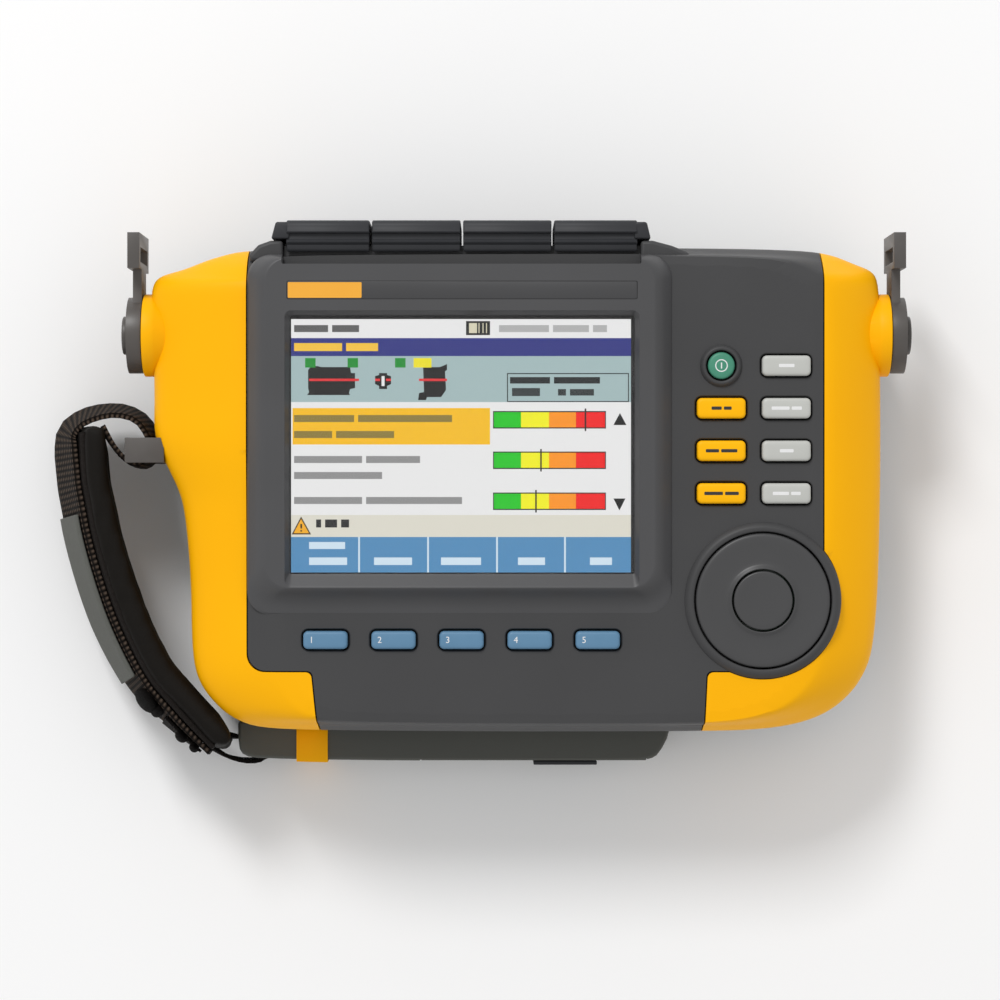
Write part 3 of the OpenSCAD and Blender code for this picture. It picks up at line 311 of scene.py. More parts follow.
# The rear half is more matt, so the parting line shows, and its colour is painted lighter than its plastic, as painted
# light on the band that lies in the shade of the case
rearAbsPaintedLight = mouldedFinish("sparkErodedRearAbsPaintedLight", "#4c4d48", "#53544f", 0.55, depth=0.03, gloss=0.35)
# Yellow elastomer moulded over the sides: satin, slightly warmer in broad soft patches
yellowElastomer = mouldedFinish("overmouldedYellowElastomer", "#fdb900", "#faaf00", 0.45, depth=0.02, patch=60.0,
                                gloss=0.12)
# Rubber: nearly even, with a soft dull light along its edges
blackRubber = mouldedFinish("mouldedBlackRubber", "#2e2f32", "#36373a", 0.5, depth=0.02, patch=12.0, gloss=0.25)
sealRubber = mouldedFinish("siliconeSeal", "#1c1c1d", "#232324", 0.6)
# Touched parts in a smoother plastic, and nylon with fibres that give a close warm grain
discAbs = mouldedFinish("satinDiscAbs", "#404041", "#464647", 0.4, depth=0.012, gloss=0.4)
lugNylon = mouldedFinish("glassFilledNylon", "#4a4643", "#55514e", 0.42, grain=0.6, depth=0.03, patch=6.0)
# Silicone keys: one clean colour each, and a broad soft highlight on the crown
yellowKeyRubber = mouldedFinish("siliconeYellowKey", "#ffbc00", "#fbb400", 0.45, depth=0.01, patch=9.0, gloss=0.15)
greyKeyRubber = mouldedFinish("siliconeGreyKey", "#b7b8b3", "#c0c1bc", 0.45, depth=0.01, patch=9.0)
blueKeyRubber = mouldedFinish("siliconeBlueKey", "#57809f", "#6088a7", 0.45, depth=0.01, patch=9.0, gloss=0.4)
greenKeyRubber = mouldedFinish("siliconeGreenKey", "#3d8268", "#479177", 0.45, depth=0.01, patch=4.0, gloss=0.4)
# Printed film: flat and even, with less grain than the plastic round it
platePrint = mouldedFinish("printedPolyesterPlate", "#3f3f40", "#434345", 0.38, depth=0.004, gloss=0.4)
yellowPrint = mouldedFinish("printedYellowField", "#f2ad33", "#eda62b", 0.4, depth=0.004, patch=10.0)
# Plated metal: bright, with small changes of tone along a turned surface
steel = mouldedFinish("zincPlatedSteel", "#c4c6c8", "#b2b4b7", 0.32, grain=0.5, depth=0.006, patch=3.0,
                      metallic=1.0)
nickel = mouldedFinish("nickelPlatedBrass", "#c9c4b8", "#b8b2a5", 0.25, grain=0.5, depth=0.004, patch=4.0,
                       metallic=1.0)
gold = mouldedFinish("goldPlatedContact", "#d8b25a", "#c9a24c", 0.3, depth=0.003, patch=3.0, metallic=1.0)
# Inside: a glossy green lacquer on the boards and a shiny wrap on the cells
boardResist = mouldedFinish("solderResist", "#17502c", "#1c5f35", 0.35, depth=0.01, patch=5.0, coat=0.3)
cellWrap = mouldedFinish("heatShrinkWrap", "#2c5f9a", "#336aa8", 0.35, depth=0.006, patch=12.0)
# Thick printing ink: matt, and sharp against the key under it
whitePrint = mouldedFinish("screenPrintedWhite", "#e8e8e8", "#dedede", 0.5, depth=0.003, patch=3.0)
blackPrint = mouldedFinish("screenPrintedBlack", "#222222", "#2a2a2a", 0.5, depth=0.003, patch=3.0)

# Acrylic window: clear, with a sharp reflection
acrylic, acrylicTree, acrylicShader = newMaterial("castAcrylic")
setInputs(acrylicShader, {"Base Color": (1, 1, 1, 1), "Roughness": 0.03, "IOR": 1.2, "Transmission Weight": 1.0})


def litPixels(name, colour):
    # a liquid crystal display behind its film: it gives its own light, and it shines a little
    material, tree, shader = newMaterial(name)
    setInputs(shader, {"Base Color": (0.01, 0.01, 0.01, 1), "Roughness": 0.3, "Emission Color": linear(colour),
                       "Emission Strength": 0.95})
    return material


# Camera straight above, as in the photograph
cameraSpec = dict(place=(0.0083884, -0.001, 1.17), lens=119.34, sensor=36)
camera = bpy.data.objects.new("camera", bpy.data.cameras.new("camera"))
bpy.context.collection.objects.link(camera)
camera.location = cameraSpec["place"]
camera.data.lens = cameraSpec["lens"]
camera.data.sensor_width = cameraSpec["sensor"]
bpy.context.scene.camera = camera
print("camera done")


# Shells
def onCase(x, y):
    # a place given as shares of the case's reach and rise
    return (case["reach"] * x, case["rise"] * y, 0)


def caseRing(points, share, inset, z):
    left, right, end = share
    return [(x * ((left if x < 0 else right) - inset / case["reach"]), y * (end - inset / case["rise"]), z)
            for x, y in points]


caseOutline = soften([onCase(x, y)[:2] for x, y in outlineShares])


def creasedSubdivision(obj, rimZ):
    # the rim loop at this height stays sharp
    crease = obj.data.attributes.new("crease_edge", "FLOAT", "EDGE")
    for edge in obj.data.edges:
        if all(abs(obj.data.vertices[v].co.z - rimZ) < 0.01 for v in edge.vertices):
            crease.data[edge.index].value = 1.0
    return apply(obj, "SUBSURF", levels=1, render_levels=1)


def frontLoft(name, inset, low):
    rise = case["faceZ"] - inset - case["frontZ"]
    rings = [caseRing(caseOutline, (left, right, end), inset, case["frontZ"] + rise * up if up else low)
             for left, right, end, up in frontShares]
    return creasedSubdivision(loft(name, rings), low)


middle = dict(left=90.2, right=102.5, toeLeft=68.3, toeRight=63.5, toeY=-61.09, leanLeft=0.1, leanRight=0.05,
              corner=6.0, tip=2.0, discX=82.1, discY=-37.3, collarR=26.193, far=200.0)


def middleArea(grow):
    # the dark middle: straight sides, a round bay for the disc and two slanted toes
    m = middle
    r, tip, corner, far = m["collarR"] + grow, m["tip"], m["corner"], m["far"]
    left, right, low = -m["left"] - grow, m["right"] + grow, m["toeY"] - grow
    toeLeft, toeRight = -m["toeLeft"] - grow, m["toeRight"] + grow
    bayStart = math.degrees(math.acos((right - m["discX"]) / r))
    bayStop = -180 - math.degrees(math.asin((low - m["discY"]) / r)) if low > m["discY"] - r else -90
    return ([(left, far), (right, far)]
            + arc(m["discX"], m["discY"], r, bayStart, bayStop, 40)
            + arc(toeRight + tip, low - tip, tip, 90, 180, 6)
            + [(toeRight - m["leanRight"] * (far + low), -far), (toeLeft + m["leanLeft"] * (far + low), -far)]
            + arc(toeLeft - tip, low - tip, tip, 0, 90, 6)
            + arc(left + corner, low + corner, corner, 270, 180, 9))


outer = frontLoft("outerForm", 0.0, case["frontZ"])
insideYellow = frontLoft("insideYellow", case["yellowWall"], case["frontZ"])
cavity = frontLoft("cavity", case["yellowWall"] + case["wall"], case["frontZ"] - 2)
frontShell = duplicate(outer, "frontShell")
carve(frontShell, prism("middlePrism", middleArea(-case["groove"]), 10, 90), "INTERSECT")
carve(frontShell, insideYellow, "UNION", keepTool=True)
yellowForm = duplicate(outer, "yellowForm")
carve(yellowForm, prism("middlePrism", middleArea(case["groove"]), 10, 90))
carve(yellowForm, moved(insideYellow, z=-0.4), keepTool=True)
bpy.data.objects.remove(outer)
print("shell forms done")

keyPlaces = dict(columns=(68.2, 89.9), rowOne=41.0, pitch=14.2, keyW=16.2, keyH=6.8, functionX=-63.8,
                 functionY=-50.5, functionPitch=22.7, functionW=14.8, functionH=6.0, corner=1.6, gap=0.6,
                 lip=0.35, wellDepth=8.0, rise=2.0)


def keySpots(kind):
    # yellow keys stand in the first column, grey ones in the second, and blue ones in a row below the screen
    p = keyPlaces
    if kind == "function":
        return [(p["functionX"] + p["functionPitch"] * i, p["functionY"]) for i in range(5)]
    column, rows = {"yellow": (0, (1, 2, 3)), "grey": (1, (0, 1, 2, 3))}[kind]
    return [(p["columns"][column], p["rowOne"] - p["pitch"] * row) for row in rows]


def keyWell(x, y, w, h):
    p, face = keyPlaces, case["faceZ"]
    rings = []
    for out, z in ((0, face - p["wellDepth"]), (0, face - p["lip"]), (p["lip"], face + 0.01),
                   (p["lip"], face + p["wellDepth"])):
        halfW, halfH = w / 2 + p["gap"] + out, h / 2 + p["gap"] + out
        rings.append(roundRing(x - halfW, x + halfW, y - halfH, y + halfH, p["corner"] + p["gap"] + out, z))
    return loft("keyWell", rings)


def wellCutters():
    p = keyPlaces
    wells = [keyWell(x, y, p["keyW"], p["keyH"]) for x, y in keySpots("yellow") + keySpots("grey")]
    wells += [keyWell(x, y, p["functionW"], p["functionH"]) for x, y in keySpots("function")]
    return join(wells, "wells")


block = dict(left=89.7, right=51.8, low=42.0, high=78.06, lean=6.0, topLean=1.5, apron=9.0, corner=8.0,
             rise=6.0, top=70.0)
screen = dict(x=-18.2, y=14.6, w=114.8, h=86.0, drop=2.4, bevelSide=1.4, bevelLow=4.0, moduleTop=66.5)
plate = dict(y=65.9, w=116.5, h=6.1, t=0.6, fieldW=24.5, fieldH=5.2)
shelf = dict(x0=-78.15, x1=41.35, y=74.62, z=59.0, panelY=77.9, panelLow=28.9, panelHigh=57.1, far=120.0, top=90.0)

# Steps of the block from its foot to its top: shares of the side lean, the apron and the rise
blockShares = [(-0.06, -0.02, -0.12), (0, 0.06, 0.0), (0.02, 0.2, 0.04), (0.06, 0.36, 0.11), (0.14, 0.5, 0.21),
               (0.27, 0.63, 0.36), (0.42, 0.74, 0.54), (0.58, 0.83, 0.71), (0.74, 0.9, 0.85), (0.87, 0.955, 0.94),
               (0.95, 0.985, 0.985), (1.02, 1.01, 1.0), (1.12, 1.06, 1.0)]


def screenBlock():
    b, s = block, screen
    rings = [roundRing(-b["left"] + b["lean"] * side, b["right"] - b["lean"] * side,
                       -b["low"] + b["apron"] * apron, b["high"] - b["topLean"] * side, b["corner"],
                       case["faceZ"] + b["rise"] * up, 10) for side, apron, up in blockShares]
    obj = loft("screenBlock", rings)
    x0, x1 = s["x"] - s["w"] / 2, s["x"] + s["w"] / 2
    y0, y1 = s["y"] - s["h"] / 2, s["y"] + s["h"] / 2
    opening = [(0, 55), (0, b["top"] - s["drop"]), (0.12, b["top"] - s["drop"] + 0.1), (1.0, b["top"] - 0.12),
               (1.12, b["top"] + 0.01), (1.12, b["top"] + 3)]
    carve(obj, loft("windowCut", [roundRing(x0 - s["bevelSide"] * e, x1 + s["bevelSide"] * e,
                                            y0 - s["bevelLow"] * e, y1 + s["bevelSide"] * e,
                                            0.8 + 1.2 * e, z) for e, z in opening]))
    return carve(obj, slabAbout("plateCut", s["x"], plate["y"], plate["w"], plate["h"], b["top"] - plate["t"],
                                b["top"] + 3, 0.5, 3))


def shelfCut():
    # the recess of the socket covers, with softened lower corners
    s = shelf
    return join([slab("shelfCut", s["x0"], s["x1"], s["y"], s["far"], s["z"], s["top"], 0.6, 3),
                 slab("panelCut", s["x0"] - 0.1, s["x1"] + 0.1, s["panelY"], s["far"], s["panelLow"],
                      s["panelHigh"], 0.1, 1)], "shelfCut")


discSpec = dict(x=middle["discX"], y=middle["discY"], r=22.4, gap=0.593, collarW=3.2, rise=1.6, boreR=10.45,
                enterR=9.8, enterRise=2.4)
powerSpec = dict(x=keyPlaces["columns"][0], y=keyPlaces["rowOne"], r=4.5, gap=0.6, collarW=2.0, rise=1.6)

# Heights between which a tool goes through the face, and the room of the display module
through = dict(low=50.0, high=90.0)
moduleRoom = dict(left=-82.0, right=45.0, low=-34.0, high=63.0)
shelfTool = shelfCut()
blockObj = screenBlock()
carve(blockObj, shelfTool, keepTool=True)
carve(frontShell, slab("moduleRoom", moduleRoom["left"], moduleRoom["right"], moduleRoom["low"],
                       moduleRoom["high"], through["low"], through["high"]))
carve(frontShell, shelfTool)
# The recess of the covers ends in a shoulder on each side
shoulder = dict(low=30.0, top=60.3, edge=1.2,
                leftShoulder=[(-78.3, 76), (-89.6, 76), (-89.6, 78.4), (-86.6, 81.6), (-82.5, 83.1), (-78.3, 83.1)],
                rightShoulder=[(41.5, 76), (41.5, 83.1), (45.6, 83.1), (52.0, 81.4), (58.0, 79.0), (58.0, 76)])
for name in ("leftShoulder", "rightShoulder"):
    horn = prism(name, shoulder[name], shoulder["low"], shoulder["top"])
    carve(frontShell, rounded(horn, shoulder["edge"], 3, 50), "UNION")
carve(frontShell, cavity)
carve(frontShell, wellCutters())
for spec, steps in ((discSpec, 96), (powerSpec, 64)):
    carve(frontShell, drill("well", spec["r"] + spec["gap"], through["low"], through["high"],
                            (spec["x"], spec["y"], 0), steps=steps))
evenlyShaded(rounded(frontShell, 0.3, 1))
settle(frontShell, darkAbs, "root", "dark_shell", "front_case")
evenlyShaded(blockObj, 30)
settle(blockObj, bezelAbs, "root", "dark_shell")
print("front shell done")


def collar(name, spec):
    # a ring with a soft inner lip and a steeper outer wall
    inner, width, top = spec["r"] + spec["gap"], spec["collarW"], case["faceZ"] + spec["rise"]
    foot = case["faceZ"] - 6
    profile = [(inner, foot), (inner, top - 0.45), (inner + 0.16, top - 0.14), (inner + 0.45, top),
               (inner + 0.38 * width, top), (inner + 0.52 * width, top - 0.12), (inner + 0.76 * width, top - 0.7),
               (inner + 0.93 * width, top - 1.3), (inner + width, case["faceZ"]), (inner + width, foot)]
    obj = turned(name, profile, (spec["x"], spec["y"], 0), steps=128)
    return settle(smoothed(obj, 50), darkAbs, "root", "dark_shell")


collar("discCollar", discSpec)
collar("powerCollar", powerSpec)


# Yellow sides, each with a boss for its lug
lug = dict(y=52.1, z=42.5, bossR=14.0, bossOut=2.4, postR=4.0)


def yellowSide(name, side, node, slotName):
    obj = duplicate(yellowForm, name)
    carve(obj, slab("otherHalf", -200 if side > 0 else 0, 0 if side > 0 else 200, -150, 150, 0, 100))
    r, out = lug["bossR"], lug["bossOut"]
    middleOfLug, outward = (side * case["reach"], lug["y"], lug["z"]), (side, 0, 0)
    boss = turned("boss", [(0, -16), (r - 8, -16), (r - 5, -10), (r - 2.2, -5), (r - 0.6, -2), (r, -0.6),
                           (r, out - 0.5), (r - 0.15, out - 0.15), (r - 0.5, out), (0, out)], middleOfLug, outward)
    carve(boss, insideYellow, keepTool=True)
    carve(obj, boss, "UNION")
    carve(obj, drill("bore", lug["postR"], -12, 6, middleOfLug, outward, 48))
    evenlyShaded(rounded(obj, 0.35))
    return settle(obj, yellowElastomer, "root", slotName, node)


yellowSide("gripLeft", -1, "grip_left", "yellow_moulding")
yellowSide("sideRight", 1, "side_right", "yellow_moulding")
for spent in (yellowForm, insideYellow):
    bpy.data.objects.remove(spent)
print("yellow sides done")


# Rear shell with its band, bay and notch
rear = dict(bandLeft=96.0, bandRight=53.0, bandDrop=12.0, bandTop=26.0, batteryX=6.0, batteryW=78.0,
            batteryY=-93.7, batteryL=72.0, batteryZ=4.4, batteryT=21.0, gap=0.3, notchRight=-81.5, notchTop=-84.8,
            notchLow=5.0, notchHigh=22.0, screwR=3.3, screwSeat=3.9, footR=7.3, footSeat=2.1)
# A shallow bare panel on the back, where a label would be
label = dict(left=-52.0, right=64.0, low=22.0, high=56.0, top=1.9)
bandShares = [(-1, -0.4), (1, -0.4), (1, 0.2), (0.93, 0.79), (0.87, 0.95), (0.75, 0.99), (0, 1),
              (-0.62, 0.967), (-0.917, 0.917), (-0.979, 0.85), (-1, 0.583)]
screwShares = [(-0.84, 0.75), (0.87, 0.75), (0.84, -0.75), (-0.74, -0.78)]
footShares = [(-0.78, 0.6), (0.8, 0.6), (0.8, -0.6), (-0.62, -0.6)]


def bandPoints():
    return soften([(x * (rear["bandLeft"] if x < 0 else rear["bandRight"]), -case["rise"] - rear["bandDrop"] * y)
                   for x, y in bandShares])


def rearShell():
    rings = [caseRing(caseOutline, share[:3], 0,
                      case["foot"] + (case["rearTop"] - case["foot"]) * share[3]) for share in rearShares]
    obj = creasedSubdivision(loft("rearShell", rings), case["rearTop"])
    band = prism("band", bandPoints(), case["foot"], rear["bandTop"])
    rounded(band, 1.0, 3, 60)
    carve(obj, band, "UNION")
    r = rear
    carve(obj, slab("bay", r["batteryX"] - r["batteryW"] / 2 - r["gap"], r["batteryX"] + r["batteryW"] / 2 + r["gap"],
                    r["batteryY"] - 2, r["batteryY"] + r["batteryL"] + 1.5, r["batteryZ"] - r["gap"],
                    r["batteryZ"] + r["batteryT"] + r["gap"]))
    carve(obj, slab("notch", -150, r["notchRight"], -120, r["notchTop"], r["notchLow"], r["notchHigh"]))
    seats = [drill("seat", r["screwR"], -1, r["screwSeat"], onCase(x, y), steps=32) for x, y in screwShares]
    seats += [turned("seat", [(0, -1), (r["footR"], -1), (r["footR"], r["footSeat"] - 0.6),
                              (r["footR"] - 0.2, r["footSeat"]), (0, r["footSeat"])], onCase(x, y), steps=48)
              for x, y in footShares]
    seats.append(slab("labelSeat", label["left"], label["right"], label["low"], label["high"], 0, label["top"], 4))
    carve(obj, join(seats, "seats"))
    evenlyShaded(rounded(obj, 0.3))
    # the rear plastic's colour is painted lighter, as painted light on the shaded band
    return settle(obj, rearAbsPaintedLight, "root", "rear_shell", "rear_case")


rearShell()
print("rear shell done")


def bevelledCopy(node, name, material, width, body, slotName, segments=2):
    obj = fromNode(node, name)
    smoothed(rounded(obj, width, segments))
    return settle(obj, material, body, slotName, node)


bevelledCopy("band_stripe", "bandStripe", yellowElastomer, 0.2, "root", "yellow_moulding")
bevelledCopy("rear_feet", "rearFeet", sealRubber, 0.5, "root", "foot_rubber", 3)
# the pack takes the same rear plastic, painted lighter as painted light
bevelledCopy("battery_pack", "batteryPack", rearAbsPaintedLight, 0.5, "battery", "pack_shell")
bevelledCopy("battery_latch", "batteryLatch", blackRubber, 0.35, "latch", "pack_shell")
bevelledCopy("strap_bracket", "strapBracket", lugNylon, 0.8, "root", "lug_plastic", 3)
for side, sideName in (("left", "Left"), ("right", "Right")):
    bevelledCopy("lug_" + side, "lug" + sideName, lugNylon, 0.7, side + "_lug", "lug_plastic", 3)
    bevelledCopy("lug_post_" + side, "lugPost" + sideName, lugNylon, 0.5, "root", "lug_plastic", 3)
for socket, slotName, metal in (("sensor", "socket_metal", nickel), ("speed", "socket_metal", nickel),
                                ("usb", "socket_metal", nickel), ("power", "socket_plastic", sealRubber)):
    bevelledCopy(socket + "_socket", socket + "Socket", metal, 0.2, "root", slotName)
print("plain pieces done")


# Keys: one soft cap with a crowned top for each size, copied to its places
def keyCap(name, w, h, corner, top):
    steps = [(0.0, -3.9), (0.0, -1.0), (0.08, -0.62), (0.28, -0.3), (0.6, -0.08), (1.0, 0.0), (1.5, 0.06),
             (2.2, 0.1)]
    return loft(name, [roundRing(-w / 2 + e, w / 2 - e, -h / 2 + e, h / 2 - e, max(corner - 0.6 * e, 0.5),
                                 top - 0.1 + z) for e, z in steps])


def placeKeys(cap, kind, material):
    for number, (x, y) in enumerate(keySpots(kind), 1):
        key = smoothed(moved(duplicate(cap, "%sKey%d" % (kind, number)), x, y), 60)
        ending = "f%d" % number if kind == "function" else "%s_%d" % (kind, number)
        settle(key, material, ending + "_button", kind + "_key", "key_" + ending)
    bpy.data.objects.remove(cap)


keyTop = case["faceZ"] + keyPlaces["rise"]
faceCap = keyCap("faceCap", keyPlaces["keyW"], keyPlaces["keyH"], keyPlaces["corner"], keyTop)
placeKeys(duplicate(faceCap, "yellowCap"), "yellow", yellowKeyRubber)
placeKeys(faceCap, "grey", greyKeyRubber)
placeKeys(keyCap("functionCap", keyPlaces["functionW"], keyPlaces["functionH"], keyPlaces["corner"], keyTop),
          "function", blueKeyRubber)


def roundKey(name, spec, top, profile, steps):
    # each point of the profile is a radius and a height over the top
    return turned(name, [(r, top + up) for r, up in profile], (spec["x"], spec["y"], 0), steps=steps)


powerTop = case["faceZ"] + powerSpec["rise"]
powerKey = roundKey("powerKey", powerSpec, powerTop, [
    (0, -4.08), (4.5, -4.08), (4.5, -0.9), (4.4, -0.5), (4.1, -0.2), (3.6, -0.05), (2.0, 0), (0, 0)], 64)
settle(smoothed(powerKey, 60), greenKeyRubber, "power_button", "power_key", "key_power")

# Direction disc: a raised rim, a dished track and an inner lip
rim, bore, enterR = discSpec["r"], discSpec["boreR"], discSpec["enterR"]
disc = roundKey("directionDisc", discSpec, case["faceZ"] + discSpec["rise"], [
    (bore + 0.05, -3.2), (rim, -3.2), (rim, -0.8), (rim - 0.15, -0.35), (rim - 0.6, -0.1), (21.0, 0),
    (19.0, -0.12), (16.0, -0.22), (13.4, -0.16), (12.2, -0.1), (11.9, 0), (11.5, 0.22), (10.9, 0.62),
    (10.7, 0.72), (10.52, 0.64), (bore, 0.45), (bore, -0.6), (bore + 0.05, -0.9)], 128)
settle(smoothed(disc, 60), discAbs, "disc", "disc_plastic", "direction_disc")
enter = roundKey("enterKey", discSpec, case["faceZ"] + discSpec["enterRise"], [
    (0, -5.0), (enterR, -5.0), (enterR, -0.55), (enterR - 0.08, -0.25), (enterR - 0.3, -0.06), (enterR - 0.6, 0),
    (7.6, -0.03), (5.0, -0.1), (2.5, -0.14), (0, -0.16)], 96)
settle(smoothed(enter, 60), discAbs, "enter", "disc_plastic", "enter_key")
print("keys done")


# Socket covers: the rubber section runs along X, with two ridges on top, and the end covers have wings. Each has
# its name, its middle, its width, and the reach of its wing, which is negative to the left
cover = dict(low=20.0, front=90.0, lipY=80.5, midY=85.5, midZ=42.0, wall=2.4, hollowBack=70.0, hollowTop=56.9,
             wingLow=83.6, wingHigh=89.35, wingTop=60.45,
             places=[("sensor", -63.25, 27.8, -5.1), ("speed", -33.65, 29.6, 0), ("usb", -3.15, 29.6, 0),
                     ("power", 26.45, 27.8, 4.6)])
coverSection = [(82.3, 20.0), (89.2, 20.0), (90.0, 20.8), (90.0, 58.4), (89.75, 59.5), (89.1, 60.3), (88.0, 60.6),
                (86.8, 60.7), (86.5, 60.95), (86.1, 61.1), (85.7, 60.9), (85.4, 60.0), (84.6, 59.6), (83.6, 59.7),
                (83.1, 60.4), (82.7, 60.7), (82.2, 60.5), (81.7, 59.95), (80.4, 59.9), (79.7, 59.75),
                (79.4, 59.35), (82.3, 59.3)]


def socketCover(name, x, w, wing, node, body):
    c, half = cover, w / 2

    def drawnIn(y, z, e):
        # the ends are a little smaller than the section
        return (y - e * (1 if y > c["midY"] else -1 if y < c["lipY"] else 0), z - e * (1 if z > c["midZ"] else -1))

    ends = [(-half, 0.35), (-half + 0.15, 0.12), (-half + 0.5, 0), (half - 0.5, 0), (half - 0.15, 0.12), (half, 0.35)]
    obj = loft(name, [[(x + along,) + drawnIn(y, z, e) for y, z in coverSection] for along, e in ends])
    if wing:
        side = 1 if wing > 0 else -1
        root, tip = x + side * (half - 1), x + side * half + wing
        flap = prism("wing", [(root, c["wingLow"]), (tip, c["wingLow"]), (tip - 0.3 * wing, c["wingHigh"]),
                              (root, c["wingHigh"])], c["low"] + 0.4, c["wingTop"])
        carve(obj, rounded(flap, 0.7, 3, 40), "UNION")
    carve(obj, slab("hollow", x - half + c["wall"], x + half - c["wall"], c["hollowBack"], c["front"] - c["wall"],
                    c["low"] + c["wall"], c["hollowTop"], 1.0, 3))
    return settle(smoothed(obj, 40), blackRubber, body, "cover_rubber", node)


for socketName, x, w, wing in cover["places"]:
    socketCover(socketName + "Cover", x, w, wing, "cover_" + socketName, socketName + "_cover")

# The rubber strip that carries the covers: a narrow rail on the case and a tongue below each cover
strip = dict(left=-82.15, right=44.95, back=82.15, front=84.3, low=8.0, high=19.6, tongueFront=89.7, tongueIn=1.6,
             tongueLow=14.0)
rail = slab("coverStrip", strip["left"], strip["right"], strip["back"], strip["front"], strip["low"],
            strip["high"], 0.1, 1)
tongues = [slab("tongue", x - w / 2 + strip["tongueIn"], x + w / 2 - strip["tongueIn"], strip["front"] - 1,
                strip["tongueFront"], strip["tongueLow"], strip["high"], 0.1, 1) for _, x, w, _ in cover["places"]]
carve(rail, join(tongues, "tongues"), "UNION")
settle(smoothed(rounded(rail, 0.8, 3)), blackRubber, "root", "cover_rubber", "cover_strip")
print("covers done")

# Nameplate strip: a bare dark field, with a bare yellow field at its left
plateObj = slabAbout("nameplateStrip", screen["x"], plate["y"], plate["w"] - 0.24, plate["h"] - 0.24,
                     block["top"] - plate["t"], block["top"] - 0.15, 0.4, 3)
settle(smoothed(rounded(plateObj, 0.1)), platePrint, "root", "nameplate", "nameplate")
fieldLeft = screen["x"] - plate["w"] / 2 + 0.4
yellowField = slab("nameplateField", fieldLeft, fieldLeft + plate["fieldW"], plate["y"] - plate["fieldH"] / 2,
                   plate["y"] + plate["fieldH"] / 2, block["top"] - 0.2, block["top"] - 0.1, 0.3, 3)
settle(smoothed(yellowField), yellowPrint, "root", "nameplate")

# Picture on the display: plain fields, bars in place of words, and generic signs. Its places are pixels of the
# photograph, and levelStep keeps what lies on a field above it
picture = dict(pixel=0.33266, midX=-5.6, midY=-3.8, left=291, right=631, z=screen["moduleTop"] + 0.02,
               levelStep=0.006, wordGap=4)
pictureParts = {}


def onScreen(px, py):
    return ((px - 500) * picture["pixel"] + picture["midX"], (500 - py) * picture["pixel"] + picture["midY"])


def addPart(colour, points, level):
    # one flat face on the picture
    deselect()
    bpy.ops.mesh.primitive_circle_add(vertices=len(points), radius=1, fill_type="NGON")
    obj = bpy.context.object
    for vertex, point in zip(obj.data.vertices, points):
        vertex.co = onScreen(*point) + (picture["z"] + picture["levelStep"] * level,)
    obj.data.update()
    if obj.data.polygons[0].normal.z < 0:
        obj.data.flip_normals()
    pictureParts.setdefault(colour, []).append(obj)


def field(colour, left, top, right, bottom, level=0):
    addPart(colour, [(left, bottom), (right, bottom), (right, top), (left, top)], level)


def words(colour, px, py, widths, height):
    # bars stand where a line of words would be
    for width in widths:
        field(colour, px, py, px + width, py + height, 3)
        px += width + picture["wordGap"]


# Colour, top and bottom of each full row
pictureRows = [("#e9e9e9", 319, 338), ("#262d7f", 338, 356), ("#a2b9ba", 356, 402), ("#e9e9e9", 402, 515),
               ("#dcd9cc", 515, 537), ("#4f8ab8", 537, 572.5)]
# Colour, left, top, widths and height of each line of bars
pictureWords = [("#5c5c5c", 294, 325, (34, 27), 7), ("#b0b0b0", 499, 325, (50, 36, 14), 7),
                ("#f2c23a", 294, 343, (48, 32), 8), ("#1a1f20", 510, 377, (40, 46), 6.5),
                ("#2c3334", 512, 388, (28,), 8), ("#2c3334", 558, 389, (8, 24), 6.5),
                ("#8a7733", 294, 415, (60, 94), 7), ("#8a7733", 294, 431, (38, 58), 7),
                ("#8f8f8f", 294, 456, (68, 54), 7), ("#8f8f8f", 294, 472, (88,), 7),
                ("#8f8f8f", 294, 497, (68, 96), 7), ("#202020", 316, 519.5, (5, 12, 8), 8),
                ("#cfe2f0", 309, 557.5, (38,), 7.5), ("#cfe2f0", 374, 557.5, (38,), 7.5),
                ("#cfe2f0", 441, 557.5, (40,), 7.5), ("#cfe2f0", 518, 557.5, (27,), 7.5),
                ("#cfe2f0", 590, 557.5, (22,), 7.5), ("#cfe2f0", 309, 542, (36,), 7)]
# Colour, points and level of the motor, the coupling, the pump, two arrows and the notice sign
pictureShapes = [("#0a0a0a", [(308, 370), (311, 366), (318, 366), (321, 367), (350, 367), (351, 373), (355, 373),
                              (355, 388), (350, 389), (349, 393), (350, 395), (307, 395), (309, 392),
                              (308, 388)], 2),
                 ("#0a0a0a", [(379, 373), (387, 373), (387, 375), (391, 376), (391, 384), (387, 386), (387, 389),
                              (379, 389), (379, 386), (375, 384), (375, 376), (379, 375)], 2),
                 ("#0a0a0a", [(423, 367), (440, 367), (447, 364), (447, 370), (445, 371), (446, 390), (441, 397),
                              (427, 397), (426, 400), (418, 400), (419, 393), (424, 392)], 2),
                 ("#050505", [(620, 413), (626.5, 425), (613.5, 425)], 2),
                 ("#050505", [(619.5, 510.5), (613.5, 498.5), (625.5, 498.5)], 2),
                 ("#3b2a06", [(301, 516.5), (311, 534.5), (291.5, 534.5)], 1),
                 ("#f3ae1c", [(301, 519), (309, 533.2), (293.5, 533.2)], 2)]
# Colour, left, top, right, bottom and level of the battery sign, the coupling's slot, the box for a value, the
# lit line of the list and the strokes of the notice sign
pictureFields = [("#101010", 466, 321, 490, 335, 1), ("#d8d2b8", 469, 323, 477, 333, 2),
                 ("#e9e9e9", 381.5, 376, 384.5, 386, 3), ("#101818", 507, 373, 629, 402, 1),
                 ("#a2b9ba", 508, 374, 628, 401, 2), ("#f6bd04", 292.5, 408, 490, 444.5, 1),
                 ("#3b2a06", 300.3, 524, 302, 528.5, 3), ("#3b2a06", 300.3, 530, 302, 531.6, 3)]


